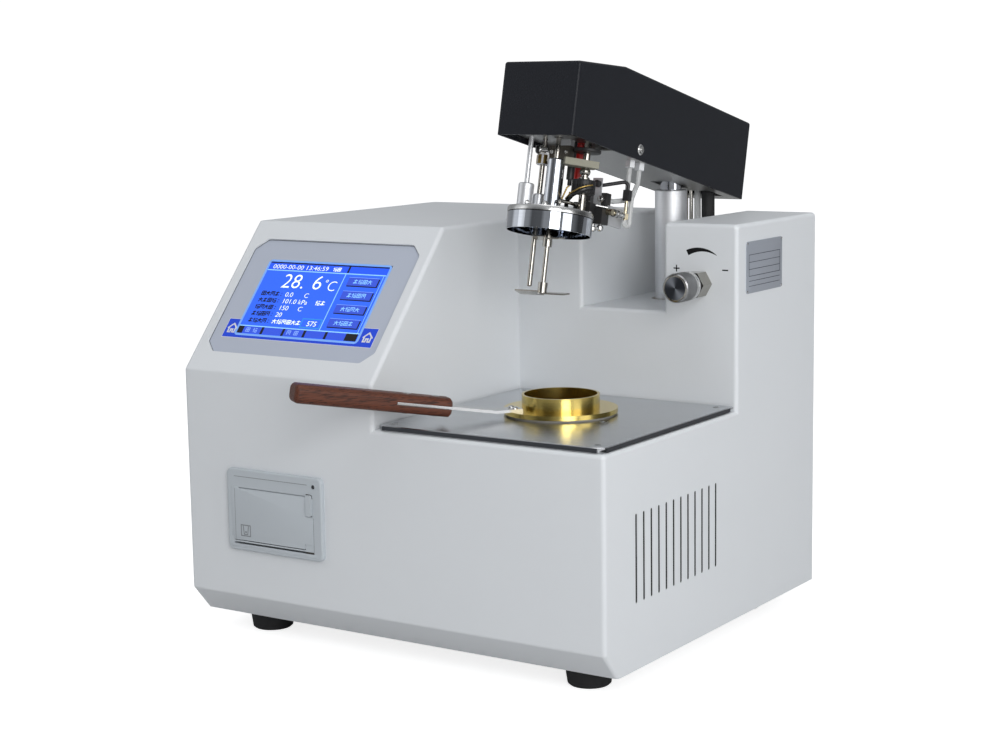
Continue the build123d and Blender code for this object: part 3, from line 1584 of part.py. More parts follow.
(left_x, left_y), (right_x, right_y) = hose_nuts
left_run = head_path(
    [
        (left_x, left_y, -nut_h),
        (left_x, left_y, left_turn_z),
        (pilot_port_x, pilot_to + pilot_lead, pilot_port_z),
        (pilot_port_x, pilot_to + fit_gap, pilot_port_z),
    ],
    wide_bend,
)
right_run = head_path(
    [
        (right_x, right_y, -nut_h),
        (right_x, right_y, right_turn_z),
        (loop_x, loop_y, loop_top),
        (loop_x, loop_y, loop_low),
        (tee_x, tee_y, loop_low),
        (tee_x, tee_y, tee_low),
    ],
    [wide_bend, wide_bend, tight_bend, tight_bend],
)
with BuildPart() as clear_hoses:
    for run in (left_run, right_run):
        with BuildSketch(Plane(origin=run @ 0, z_dir=run % 0)):
            Circle(clear_r)
        sweep(path=run)
finish(clear_hoses, "clear_hoses")

# === Stirrer ===
blade_w = 8.0
blade_thick = 1.0
blade_tilt = 11.0
blade_inset = 1.0
stir_top = 15.0
# Depth, reach, hub radius, hub above and hub below each pair of blades.
propellers = (
    (stir_low, stir_low_r, 3.2, 7.0, 0.8),
    (stir_high, stir_high_r, 3.2, 1.5, 6.2),
)
with BuildPart() as stirrer:
    with BuildSketch(on_head(-stir_low)):
        Circle(shaft_thin_r)
    extrude(amount=stir_top + stir_low)
    for blade_z, reach, stir_hub_r, hub_up, hub_down in propellers:
        with BuildSketch(on_head(hub_up - blade_z)):
            Circle(stir_hub_r)
        extrude(amount=-hub_up - hub_down)
        hub = arm_pose * Pos(0, -arm_reach, -blade_z)
        for turn in (0, 180):
            blade_seat = hub * Rot(0, 0, turn) * Pos(reach / 2, 0, 0)
            with Locations(blade_seat * Rot(blade_tilt, 0, 0)):
                Box(reach - blade_inset, blade_w, blade_thick)
finish(stirrer, "stirrer")

# === Cup with its handle ===
cup = turned(
    [
        (0, z_flange - cup_drop),
        (cup_r, z_flange - cup_drop),
        (cup_r, z_flange),
        (cup_flange_r, z_flange),
        (cup_flange_r, z_flange + cup_flange_t),
        (cup_r, z_flange + cup_flange_t),
        (cup_r, z_rim),
        (cup_bore_r, z_rim),
        (cup_bore_r, z_rim - cup_depth),
        (0, z_rim - cup_depth),
    ],
    test_x,
    cup_y,
)
finish(cup, "cup")

slot_play = 1.0  # slot beyond the strip's end
grip_slack = 0.1
grip_soft_r = 4.5
grip_end_r = 3.5
grip_edge = 1.5
handle_x = cos(radians(handle_turn))
handle_y = sin(radians(handle_turn))
rise_tan = tan(radians(handle_rise))
handle_side = Plane(
    origin=(test_x, cup_y, z_flange + cup_flange_t),
    x_dir=(handle_x, handle_y, 0),
    z_dir=(handle_y, -handle_x, 0),
)
grip_up = strip_t / 2 + (grip_start - strip_bend) * rise_tan
grip_seat = handle_side.location * Pos(grip_start, grip_up, 0)
grip_face = Plane(grip_seat * Rot(0, 0, handle_rise))
with BuildPart() as strip:
    with BuildSketch(handle_side):
        with BuildLine():
            strip_end = grip_start + (grip_slot - slot_play) * cos(radians(handle_rise))
            end_up = (strip_end - strip_bend) * rise_tan
            lean = strip_t * sin(radians(handle_rise))
            Polyline(
                (strip_start, 0),
                (strip_bend, 0),
                (strip_end, end_up),
                (strip_end - lean, end_up + strip_t * cos(radians(handle_rise))),
                (strip_bend - strip_t * tan(radians(handle_rise / 2)), strip_t),
                (strip_start, strip_t),
                close=True,
            )
        make_face()
    extrude(amount=strip_w / 2, both=True)
finish(strip, "cup_strip")

grip_len = (grip_end - grip_start) / cos(radians(handle_rise))
with BuildPart() as grip:
    with BuildSketch(Plane(origin=grip_face.origin, x_dir=grip_face.z_dir, z_dir=grip_face.x_dir)):
        RectangleRounded(grip_w, grip_t, grip_soft_r)
    extrude(amount=grip_len)
    far_end = grip.faces().sort_by(Axis(grip_face.origin, grip_face.x_dir))[-1]
    fillet(far_end.edges(), grip_end_r)
    near_end = grip.faces().sort_by(Axis(grip_face.origin, grip_face.x_dir))[0]
    chamfer(near_end.edges(), grip_edge)
    with BuildSketch(grip_face):
        with Locations((grip_slot / 2, 0)):
            Rectangle(grip_slot, strip_t + grip_slack)
    extrude(amount=grip_w, both=True, mode=Mode.SUBTRACT)
finish(grip, "cup_grip")
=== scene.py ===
from math import atan2, cos, pi, radians, sin

import bmesh
import bpy
from mathutils import Matrix, Vector


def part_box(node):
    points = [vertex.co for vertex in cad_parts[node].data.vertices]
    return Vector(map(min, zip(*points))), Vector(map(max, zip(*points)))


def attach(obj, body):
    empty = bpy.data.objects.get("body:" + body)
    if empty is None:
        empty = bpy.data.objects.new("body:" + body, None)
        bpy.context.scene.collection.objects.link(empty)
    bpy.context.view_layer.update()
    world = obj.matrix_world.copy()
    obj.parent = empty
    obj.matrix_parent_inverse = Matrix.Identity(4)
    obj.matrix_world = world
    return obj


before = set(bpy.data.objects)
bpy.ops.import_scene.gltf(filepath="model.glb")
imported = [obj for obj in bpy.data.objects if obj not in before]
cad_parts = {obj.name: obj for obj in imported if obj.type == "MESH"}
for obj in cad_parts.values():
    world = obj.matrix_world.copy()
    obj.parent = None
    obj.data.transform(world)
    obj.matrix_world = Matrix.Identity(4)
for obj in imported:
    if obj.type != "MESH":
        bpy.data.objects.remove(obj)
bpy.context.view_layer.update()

mm = 0.001

# --- Camera ---
# A long lens that stands to the right of the tester and looks slightly down at it.
# Its place and its three turns are set as on a tripod: pan, tilt and level.
def shown(name, data):
    """An object of the scene that holds the data."""
    made = bpy.data.objects.new(name, data)
    bpy.context.scene.collection.objects.link(made)
    return made


pan, tilt_down, level = 0.587968, 0.152076, -0.0156267
stand = Vector((793.601, -1179.227, 402.740)) * mm
lens = bpy.data.cameras.new("lens")
lens.sensor_width = 36.0
lens.lens = 71.157
lens.clip_end = 20.0
ahead = Vector((-sin(pan) * cos(tilt_down), cos(pan) * cos(tilt_down), -sin(tilt_down)))
flat_right = Vector((cos(pan), sin(pan), 0.0))
flat_up = flat_right.cross(ahead)
lens_right = flat_right * cos(level) + flat_up * sin(level)
lens_up = flat_up * cos(level) - flat_right * sin(level)
camera = shown("camera", lens)
camera.matrix_world = Matrix.Translation(stand) @ Matrix(
    (lens_right, lens_up, -ahead)
).transposed().to_4x4()
bpy.context.scene.camera = camera

# --- Cabinet shell ---
# Folded and welded sheet steel, powder coated in light grey. The coat has a faint
# orange peel and is a little uneven from panel to panel.
def node(tree, kind, inputs=None, **settings):
    """Adds a node. Each input gets a value, or another node's socket to be joined to."""
    made = tree.nodes.new(kind)
    for label, value in settings.items():
        setattr(made, label, value)
    for label, value in (inputs or {}).items():
        if isinstance(value, bpy.types.NodeSocket):
            tree.links.new(value, made.inputs[label])
        else:
            made.inputs[label].default_value = value
    return made


def new_effect(name, **extra):
    """A surface effect: two colours, gloss and relief go in; colour, roughness and normal come out."""
    tree = bpy.data.node_groups.new(name, "ShaderNodeTree")
    shared = {
        "Colour": (0.5, 0.5, 0.5), "Shade": (0.4, 0.4, 0.4), "Gloss": 0.4, "Drift": 0.1, "Relief": 0.1, "Depth": 0.2,
    }
    for label, value in {**shared, **extra}.items():
        kind = "Float" if isinstance(value, float) else "Color" if label in ("Colour", "Shade") else "Vector"
        socket = tree.interface.new_socket(label, in_out="INPUT", socket_type="NodeSocket" + kind)
        socket.default_value = (*value, 1.0) if kind == "Color" else value
    for label, kind in (("Colour", "Color"), ("Roughness", "Float"), ("Normal", "Vector")):
        tree.interface.new_socket(label, in_out="OUTPUT", socket_type="NodeSocket" + kind)
    given = tree.nodes.new("NodeGroupInput").outputs
    place = tree.nodes.new("ShaderNodeTexCoord").outputs["Object"]
    return tree, given, place


def maths(tree, operation, *values):
    """One step of arithmetic."""
    return node(tree, "ShaderNodeMath", dict(enumerate(values)), operation=operation).outputs[0]


def close_effect(tree, given, tone, height):
    """Mixes the two colours by the tone, and takes roughness and normal from tone and height."""
    out = tree.nodes.new("NodeGroupOutput").inputs
    mixed = node(tree, "ShaderNodeMix", {0: tone, 6: given["Colour"], 7: given["Shade"]}, data_type="RGBA")
    depth = maths(tree, "MULTIPLY", given["Depth"], mm)
    bump = node(tree, "ShaderNodeBump", {"Height": height, "Strength": given["Relief"], "Distance": depth})
    tree.links.new(mixed.outputs[2], out["Colour"])
    tree.links.new(maths(tree, "MULTIPLY_ADD", tone, given["Drift"], given["Gloss"]), out["Roughness"])
    tree.links.new(bump.outputs[0], out["Normal"])


def noise(tree, vector, scale, detail=2.0):
    """Soft noise at a scale."""
    return node(tree, "ShaderNodeTexNoise", {"Vector": vector, "Scale": scale, "Detail": detail}).outputs[0]


orange_peel, given, place = new_effect("orange_peel", Grain=900.0, Cloud=7.0)
clouds = noise(orange_peel, place, given["Cloud"], 3.0)
close_effect(orange_peel, given, clouds, noise(orange_peel, place, given["Grain"]))


def finish(name, colour, shade, gloss, effect=orange_peel, metal=0.0, sockets=None, **values):
    """A finish: one shader, fed by one surface effect with its two colours, its gloss and the rest."""
    made = bpy.data.materials.new(name)
    made.use_nodes = True
    tree = made.node_tree
    shader = tree.nodes["Principled BSDF"]
    shader.inputs["Metallic"].default_value = metal
    for label, value in (sockets or {}).items():
        shader.inputs[label].default_value = value
    surface = tree.nodes.new("ShaderNodeGroup")
    surface.node_tree = effect
    for label, value in {"Colour": (*colour, 1.0), "Shade": (*shade, 1.0), "Gloss": gloss, **values}.items():
        surface.inputs[label].default_value = value
    targets = [("Colour", "Base Color"), ("Roughness", "Roughness"), ("Normal", "Normal")]
    if shader.inputs["Emission Strength"].default_value:
        targets.append(("Colour", "Emission Color"))
    for label, target in targets:
        tree.links.new(surface.outputs[label], shader.inputs[target])
    return made


def dress(surface_finish, *nodes):
    """Gives CAD nodes their finish."""
    for name in nodes:
        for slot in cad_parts[name].material_slots:
            slot.material = surface_finish


powder_coat = finish(
    "powder_coat", (0.745, 0.77, 0.795), (0.715, 0.74, 0.765), 0.40,
    sockets={"Coat Weight": 0.12, "Coat Roughness": 0.25}, Drift=0.08, Relief=0.16, Depth=0.12, Grain=1100.0,
)
dress(powder_coat, "cabinet_shell")
shell_low, shell_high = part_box("cabinet_shell")

# --- Base pan and rear panel ---
# Plain folded sheets in a darker grey. The rear panel is held by ten pan head screws,
# and so is the lower edge of the pan.
sheet_paint = finish("sheet_paint", (0.50, 0.52, 0.54), (0.46, 0.48, 0.50), 0.45, Relief=0.2, Grain=1300.0)
dress(sheet_paint, "base_pan", "rear_panel")


def turned_place(tree, vector, turn):
    """The place, turned by three angles."""
    lay = node(tree, "ShaderNodeVectorRotate", {"Vector": vector, "Rotation": turn}, rotation_type="EULER_XYZ")
    return lay.outputs[0]


def vector_maths(tree, operation, first, second):
    """One step of arithmetic on vectors."""
    return node(tree, "ShaderNodeVectorMath", {0: first, 1: second}, operation=operation).outputs[0]


brushed, given, place = new_effect("brushed", Turn=(0.0, 0.0, 0.0), Spread=(20.0, 1500.0, 1500.0))
strokes = vector_maths(brushed, "MULTIPLY", turned_place(brushed, place, given["Turn"]), given["Spread"])
streaks = noise(brushed, strokes, 1.0, 3.0)
clouds = noise(brushed, place, 12.0)
uneven = maths(brushed, "MULTIPLY_ADD", streaks, 0.6, maths(brushed, "MULTIPLY", clouds, 0.4))
close_effect(brushed, given, uneven, streaks)

bright_steel = finish(
    "bright_steel", (0.72, 0.72, 0.71), (0.55, 0.55, 0.55), 0.16, brushed, 1.0, Drift=0.14, Relief=0.05,
)


def extruded(outline, low, high, bevel=0.0):
    """A flat outline given a thickness from low to high, with its upper edge rounded."""
    form = bmesh.new()
    base = form.faces.new([form.verts.new((x, y, low)) for x, y in outline])
    lifted = bmesh.ops.extrude_face_region(form, geom=[base])["geom"]
    for vert in lifted:
        if isinstance(vert, bmesh.types.BMVert):
            vert.co.z = high
    if bevel:
        rim = [edge for edge in form.edges if all(abs(v.co.z - high) < 1e-6 for v in edge.verts)]
        bmesh.ops.bevel(form, geom=rim, offset=bevel, segments=2, profile=0.5, affect="EDGES")
    bmesh.ops.recalc_face_normals(form, faces=form.faces)
    return form


def skin(form, rings, steps):
    """Joins each ring of points to the next with faces; a ring may be a single point."""
    for lower, upper in zip(rings, rings[1:]):
        for i in range(steps):
            corners = [ring[k % len(ring)] for ring, k in ((lower, i), (lower, i + 1), (upper, i + 1), (upper, i))]
            form.faces.new(list(dict.fromkeys(corners)))


def turned(outline, steps=24, hollow=False):
    """Spins an outline of radius and height points about its upright axis."""
    form = bmesh.new()
    rings = []
    for radius, height in outline:
        count = steps if radius > 1e-6 else 1
        turns = [2 * pi * i / count for i in range(count)]
        rings.append([form.verts.new((radius * cos(turn), radius * sin(turn), height)) for turn in turns])
    skin(form, rings + rings[:1] if hollow else rings, steps)
    bmesh.ops.recalc_face_normals(form, faces=form.faces)
    return form


def joined(*forms):
    """One mesh out of several forms; a pair gives the form and the number of its finish."""
    whole = bmesh.new()
    for item in forms:
        form, number = item if isinstance(item, tuple) else (item, 0)
        for face in form.faces:
            face.material_index = number
        part = bpy.data.meshes.new("part")
        form.to_mesh(part)
        form.free()
        whole.from_mesh(part)
        bpy.data.meshes.remove(part)
    mesh = bpy.data.meshes.new("joined")
    whole.to_mesh(mesh)
    whole.free()
    return mesh


def piece(name, mesh, body, slot, *finishes):
    """A finished piece, fixed to its body."""
    mesh.name = name
    for surface_finish in finishes:
        mesh.materials.append(surface_finish)
    mesh.shade_smooth()
    mesh.set_sharp_from_angle(angle=radians(35))
    made = shown(name, mesh)
    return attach(made, body) or made


def hexagon(flat, turn=0.0):
    """Outline of a hexagon by its distance from centre to flat."""
    corner = flat / cos(pi / 6)
    return [(corner * cos(turn + i * pi / 3), corner * sin(turn + i * pi / 3)) for i in range(6)]


def rectangle(x_low, y_low, x_high, y_high):
    """Outline of a rectangle."""
    return [(x_low, y_low), (x_high, y_low), (x_high, y_high), (x_low, y_high)]


def finished_mesh(holder):
    """The plain mesh of an object as it is shown; the object itself goes."""
    mesh = bpy.data.meshes.new_from_object(holder.evaluated_get(bpy.context.evaluated_depsgraph_get()))
    bpy.data.objects.remove(holder)
    return mesh


def cut_away(form, tool):
    """The form with the tool's shape cut out of it."""
    block, blade = (shown("cut", joined(item)) for item in (form, tool))
    cut = block.modifiers.new("cut", "BOOLEAN")
    cut.object, cut.operation, cut.solver = blade, "DIFFERENCE", "EXACT"
    left = bmesh.new()
    left.from_mesh(finished_mesh(block))
    bpy.data.objects.remove(blade)
    return left


def screw_head(radius, height, recess):
    """A screw head that stands on z = 0: cross, slot or hexagon socket."""
    if recess == "hex":
        crown, floor, tools = ((1, 0.88), (0.92, 1)), 0.3, [hexagon(radius * 0.5)]
    else:
        crown, floor = ((1, 0.3), (0.86, 0.68), (0.5, 0.94)), 0.35
        half, reach = radius * 0.13, radius * (1.2 if recess == "slot" else 0.62)
        tools = [rectangle(-reach, -half, reach, half), rectangle(-half, -reach, half, reach)]
        tools = tools[: 2 if recess == "cross" else 1]
    form = turned([(0, 0), (radius, 0), *[(radius * out, height * up) for out, up in crown], (0, height)])
    for tool in tools:
        form = cut_away(form, extruded(tool, height * floor, height * 2))
    return form


def new_tree(name, **sockets):
    """A geometry tree with named inputs and one result."""
    tree = bpy.data.node_groups.new(name, "GeometryNodeTree")
    for label, kind in {**sockets, "Finish": "Material"}.items():
        tree.interface.new_socket(label, in_out="INPUT", socket_type="NodeSocket" + kind)
    tree.interface.new_socket("Result", in_out="OUTPUT", socket_type="NodeSocketGeometry")
    return tree, tree.nodes.new("NodeGroupInput").outputs


def close_tree(tree, given, copies):
    """Turns the copies into plain faces with their finish, and hands them out."""
    real = node(tree, "GeometryNodeRealizeInstances", {"Geometry": copies.outputs[0]})
    coated = node(tree, "GeometryNodeSetMaterial", {"Geometry": real.outputs[0], "Material": given["Finish"]})
    node(tree, "NodeGroupOutput", {"Result": coated.outputs[0]})


fixings, given = new_tree("fixings", Places="Geometry", Shape="Object", Size="Float")
facing = node(fixings, "GeometryNodeInputNamedAttribute", {"Name": "facing"}, data_type="FLOAT_VECTOR")
lie = node(fixings, "FunctionNodeAlignRotationToVector", {"Vector": facing.outputs[0]}, axis="Z")
shape = node(fixings, "GeometryNodeObjectInfo", {"Object": given["Shape"]})
stand_on = {"Points": given["Places"], "Instance": shape.outputs["Geometry"], "Rotation": lie.outputs[0]}
set_out = node(fixings, "GeometryNodeInstanceOnPoints", {**stand_on, "Scale": given["Size"]})
close_tree(fixings, given, set_out)


def built(tree, start, **inputs):
    """The plain mesh that a tree makes of a starting mesh."""
    holder = shown("holder", start)
    modifier = holder.modifiers.new("tree", "NODES")
    modifier.node_group = tree
    for item in tree.interface.items_tree:
        if item.in_out == "INPUT" and item.name in inputs:
            modifier[item.identifier] = inputs[item.name]
    mesh = finished_mesh(holder)
    mesh.materials.clear()
    return mesh


def fixed_at(name, places, form, body, slot, surface_finish):
    """The same small fixing at several places, each a point and the direction it faces."""
    shape = shown("shape", joined(form))
    points = bpy.data.meshes.new("points")
    points.from_pydata([tuple(point) for point, _ in places], [], [])
    faces = points.attributes.new("facing", "FLOAT_VECTOR", "POINT")
    for item, (_, direction) in zip(faces.data, places):
        item.vector = direction
    mesh = built(fixings, points, Shape=shape, Size=mm, Finish=surface_finish)
    bpy.data.objects.remove(shape)
    return piece(name, mesh, body, slot, surface_finish)


def cabinet_point(across, back, up):
    """A point counted from the cabinet's lower front left corner, in millimetres."""
    return shell_low + Vector((across, back, up)) * mm


cabinet_d = 310.0
rear_spots = ((7, 8), (119, 8), (231, 8), (343, 8), (7, 140), (343, 140), (7, 272), (110, 272), (209, 272), (343, 272))
rear_places = [(cabinet_point(x, cabinet_d, z), (0, 1, 0)) for x, z in rear_spots]
fixed_at("rear_screws", rear_places, screw_head(2.9, 1.7, "cross"), "cabinet", "steel", bright_steel)

# --- Rubber feet ---
# Four moulded black rubber feet, each held by a screw deep in its recess.
rubber = finish("rubber", (0.011, 0.011, 0.012), (0.018, 0.018, 0.019), 0.62, Relief=0.35, Depth=0.3, Grain=1500.0)
dress(rubber, "rubber_feet", "hose_grommet")
feet_low, feet_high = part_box("rubber_feet")
foot_r, foot_recess = 17.0 * mm, 9.0 * mm
foot_places = [
    (Vector((x, y, feet_low.z + foot_recess)), (0, 0, -1))
    for x in (feet_low.x + foot_r, feet_high.x - foot_r)
    for y in (feet_low.y + foot_r, feet_high.y - foot_r)
]
fixed_at("foot_screws", foot_places, screw_head(4.2, 2.6, "cross"), "cabinet", "steel", bright_steel)

# --- Deck plate ---
# Stainless sheet with a folded front lip and a fine brushed face, which mirrors the cup softly.
# Small cross head screws hold it near its corners.
deck_steel = finish(
    "deck_steel", (0.60, 0.615, 0.635), (0.49, 0.505, 0.525), 0.17, brushed, 1.0, Drift=0.16, Relief=0.10, Depth=0.05,
    Spread=(15.0, 1300.0, 1300.0),
)
dress(deck_steel, "deck_plate")
deck_low, deck_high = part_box("deck_plate")
sheet_screw = finish("sheet_screw", (0.42, 0.43, 0.44), (0.34, 0.35, 0.36), 0.28, brushed, 1.0, Relief=0.05)
# A dark colour for the lip's face: a painted dark reflection, not the steel's own colour.
lip_painted_reflection = finish("lip_painted_reflection", (0.10, 0.105, 0.115), (0.06, 0.065, 0.075), 0.3, brushed, 0.9)


def moved(form, matrix):
    """The form, put in its place."""
    bmesh.ops.transform(form, matrix=matrix, verts=form.verts)
    return form


def placed(name, where, body, slot, finishes, *forms):
    """A piece made of forms in the millimetres of its own seat."""
    mesh = joined(*forms)
    mesh.transform(where)
    return piece(name, mesh, body, slot, *finishes)


deck_w, deck_d = (deck_high.x - deck_low.x) / mm, (deck_high.y - deck_low.y) / mm
# Thin dark strips laid over the front and right lips carry the painted reflection.
lip_end, lip_low, lip_high = 4.5, -3.3, -0.5
lip_strips = [
    moved(
        extruded(rectangle(lip_end, lip_low, length - lip_end, lip_high), -0.05, 0.12),
        Matrix.Rotation(turn, 4, "Z") @ Matrix.Translation((0, start, 0)) @ Matrix.Rotation(radians(90), 4, "X"),
    )
    for length, turn, start in ((deck_w, 0.0, 0), (deck_d, radians(90), -deck_w))
]
lip_seat = Matrix.Translation((deck_low.x, deck_low.y, deck_high.z)) @ Matrix.Scale(mm, 4)
placed("deck_lip", lip_seat, "cabinet", "stainless", [lip_painted_reflection], *lip_strips)
screw_inset = 9.0 * mm
deck_places = [
    (Vector((x, y, deck_high.z)), (0, 0, 1))
    for x in (deck_low.x + screw_inset, deck_high.x - screw_inset)
    for y in (deck_low.y + screw_inset, deck_high.y - screw_inset)
]
pocket_screw = cabinet_point(298.6, 84.9, 0)
pocket_screw.z = deck_high.z
deck_places.append((pocket_screw, (0, 0, 1)))
fixed_at("deck_screws", deck_places, screw_head(2.1, 0.35, "cross"), "cabinet", "steel", sheet_screw)

# --- Air bath, ring and heater ---
# The cup hangs in a cast vessel with a band heater round it. A pressed mineral ring keeps
# the cup's flange off the metal.
scaled_iron = finish("scaled_iron", (0.10, 0.095, 0.09), (0.16, 0.15, 0.14), 0.55, metal=0.9, Relief=0.4, Grain=500.0)
mineral = finish("mineral", (0.30, 0.29, 0.27), (0.38, 0.37, 0.35), 0.8, Relief=0.5, Depth=0.3, Grain=700.0)
dress(scaled_iron, "air_bath")
dress(mineral, "bath_ring")
dress(bright_steel, "heater_band")

# --- Display ---
# A blue liquid crystal panel behind a matt grey film, set into the slope. A printed band with
# a home mark at each end runs across the film below the panel.
film = finish(
    "film", (0.475, 0.515, 0.605), (0.455, 0.495, 0.585), 0.42, Drift=0.06, Relief=0.25, Depth=0.08, Grain=2500.0,
)
black_glass = finish(
    "black_glass", (0.012, 0.014, 0.02), (0.010, 0.012, 0.018), 0.12,
    sockets={"Coat Weight": 0.5, "Coat Roughness": 0.05}, Drift=0.03, Relief=0.01,
)
board_green = finish(
    "board_green", (0.01, 0.13, 0.05), (0.02, 0.18, 0.07), 0.35, Relief=0.4, Depth=0.3, Grain=400.0, Cloud=300.0,
)
dress(film, "display_bezel")
dress(black_glass, "touch_screen")
dress(board_green, "controller_board")

slope_run, slope_rise, slope_start, left_w = 88.0, 100.0, 180.0, 169.0


def seat(origin, along, upward):
    """A flat place to fix something on: its own x and y directions, and z straight out."""
    x_dir, y_dir = Vector(along).normalized(), Vector(upward).normalized()
    turn = Matrix((x_dir, y_dir, x_dir.cross(y_dir))).transposed().to_4x4()
    return Matrix.Translation(origin) @ turn @ Matrix.Scale(mm, 4)


slope_middle = cabinet_point(left_w / 2, slope_run / 2, slope_start + slope_rise / 2)
slope_seat = seat(slope_middle, (1, 0, 0), (0, slope_run, slope_rise))
film_face, panel_face = -1.5, -1.43  # below the painted slope
printed_blue = finish("printed_blue", (0.006, 0.060, 0.74), (0.008, 0.07, 0.78), 0.5, Grain=2500.0)
printed_white = finish("printed_white", (0.80, 0.81, 0.83), (0.74, 0.75, 0.78), 0.4, Grain=2500.0)
# A dark grey for the line round the panel's opening: painted shade of the gap at the film's edge.
opening_gap_shade = finish("opening_gap_shade", (0.12, 0.13, 0.15), (0.16, 0.17, 0.19), 0.6)


def band_outline(grow):
    """Outline of the printed band, which passes under the panel's opening."""
    left, right, low, high = -66.0 - grow, 68.3 + grow, -36.3 - grow, -20.7 + grow
    half_opening, sill = 55.7, -32.0
    dip = [(half_opening, high), (half_opening, sill), (-half_opening, sill), (-half_opening, high)]
    return [(left, low), (right, low), (right, high), *dip, (left, high)]


def stroke(points, width):
    """A line of even width through the points, with mitred corners, as one outline."""
    sides = ([], [])
    for i, point in enumerate(points):
        before = (Vector(point) - Vector(points[i - 1])).normalized() if i else None
        after = (Vector(points[i + 1]) - Vector(point)).normalized() if i + 1 < len(points) else before
        before = before or after
        normal_a, normal_b = Vector((-before.y, before.x)), Vector((-after.y, after.x))
        miter = (normal_a + normal_b).normalized()
        miter *= width / 2 / max(miter.dot(normal_a), 0.3)
        sides[0].append(Vector(point) + miter)
        sides[1].append(Vector(point) - miter)
    return [tuple(p) for p in sides[0] + sides[1][::-1]]


def home_mark(x, y):
    """A house drawn in outline: roof, walls and door."""
    lines = (
        [(-4.1, -0.5), (0, 3.6), (4.1, -0.5)],
        [(-2.9, 0.2), (-2.9, -3.7), (-0.8, -3.7)],
        [(0.8, -3.7), (2.9, -3.7), (2.9, 0.2)],
        [(-0.9, -4.1), (-0.9, -1.3), (0.9, -1.3), (0.9, -4.1)],
    )
    return [
        extruded([(x + px, y + py) for px, py in stroke(line, 1.15)], film_face, film_face + 0.12) for line in lines
    ]


def softened(corners, run, inset):
    """A closed line through the corners, each taken in three short steps."""
    points = []
    for i, corner in enumerate(corners):
        back, on = ((Vector(corners[k]) - Vector(corner)).normalized() for k in (i - 1, (i + 1) % len(corners)))
        points += [Vector(corner) + step for step in (back * run, (back + on).normalized() * inset, on * run)]
    return points + points[:1]


opening = [
    (66.25, -50.25), (75.25, -41.25), (75.25, 41.25), (66.25, 50.25),
    (-66.25, 50.25), (-75.25, 41.25), (-75.25, -41.25), (-66.25, -50.25),
]
under = film_face - 0.3
placed(
    "display_band", slope_seat, "cabinet", "bezel", [printed_blue, printed_white, opening_gap_shade],
    # The dark line round the opening is painted shade in the gap.
    (extruded(stroke(softened(opening, 1.66, 0.3), 0.7), under, film_face + 0.35), 2),
    (extruded(band_outline(0.35), under, film_face + 0.03), 1),
    (extruded(band_outline(0.0), under, film_face + 0.06), 0),
    *[(form, 1) for x, y in ((-59.9, -28.4), (62.2, -28.1)) for form in home_mark(x, y)],
)

# --- Panel picture ---
# What the panel shows: a clock line, the large temperature, five rows of values, four touch
# keys on the right and five tabs. The picture glows evenly, cell by cell.


def split(tree, vector):
    """The three parts of a place or direction."""
    return node(tree, "ShaderNodeSeparateXYZ", {0: vector}).outputs


panel_cells, given, place = new_effect("panel_cells", Pitch=3500.0)
slope_turn = {"Vector": place, "Angle": -atan2(slope_rise, slope_run)}
laid = node(panel_cells, "ShaderNodeVectorRotate", slope_turn, rotation_type="X_AXIS")
parts = split(panel_cells, laid.outputs[0])
phase = maths(panel_cells, "MULTIPLY", given["Pitch"], 2 * pi)
rows = [maths(panel_cells, "SINE", maths(panel_cells, "MULTIPLY", parts[i], phase)) for i in (0, 1)]
cells = maths(panel_cells, "MULTIPLY_ADD", maths(panel_cells, "MAXIMUM", *rows), 0.5, 0.5)
close_effect(panel_cells, given, cells, cells)


def glowing(name, colour, strength):
    """A colour of the lit panel."""
    shade = tuple(channel * 0.82 for channel in colour)
    return finish(
        name, colour, shade, 0.35, panel_cells,
        sockets={"Emission Strength": strength, "Coat Weight": 0.3, "Coat Roughness": 0.1}, Drift=0.0, Relief=0.0,
    )


lit_colours = {
    "frame": ((0.17, 0.36, 0.80), 0.5),
    "field": ((0.016, 0.115, 0.88), 0.62),
    "strip": ((0.006, 0.085, 0.83), 0.55),
    "key": ((0.025, 0.075, 0.62), 0.50),
    "tab": ((0.02, 0.075, 0.66), 0.55),
    "ink": None,
    "line": ((0.25, 0.55, 0.95), 0.7),
    "teal": ((0.02, 0.30, 0.55), 0.5),
    "white": ((0.85, 0.92, 1.0), 0.85),
    "soft": ((0.22, 0.38, 0.85), 0.6),
}
panel_ink = finish("panel_ink", (0.0015, 0.0015, 0.006), (0.001, 0.001, 0.004), 0.6, panel_cells)
picture_finishes = [glowing("panel_" + name, *lit) if lit else panel_ink for name, lit in lit_colours.items()]
picture_order = list(lit_colours)
picture = []


def draw(outline, colour, layer):
    """Lays one flat shape of the picture on the panel."""
    low = panel_face + 0.01
    picture.append((extruded(outline, low, low + 0.025 * layer), picture_order.index(colour)))


def rounded(x_low, y_low, x_high, y_high, radius, steps=6):
    """Outline of a rectangle with round corners."""
    points, centres = [], rectangle(x_low + radius, y_low + radius, x_high - radius, y_high - radius)
    for quarter, (x, y) in enumerate(centres[1:] + centres[:1]):
        for i in range(steps + 1):
            turn = (quarter - 1) * pi / 2 + i * pi / 2 / steps
            points.append((x + radius * cos(turn), y + radius * sin(turn)))
    return points


def figures(text, size, x, y, widen=1.0, thin=0.02):
    """White digits on the panel, cut from the plain built-in face."""
    letters = bpy.data.curves.new("figures", "FONT")
    letters.body, letters.size, letters.extrude = text, size, 0.04
    letters.resolution_u = 3
    letters.offset = -thin * size / 2
    form = bmesh.new()
    form.from_mesh(finished_mesh(shown("figures", letters)))
    spot = Matrix.Translation((x, y, panel_face + 0.1)) @ Matrix.Diagonal((widen, 1, 1, 1))
    picture.append((moved(form, spot), picture_order.index("white")))


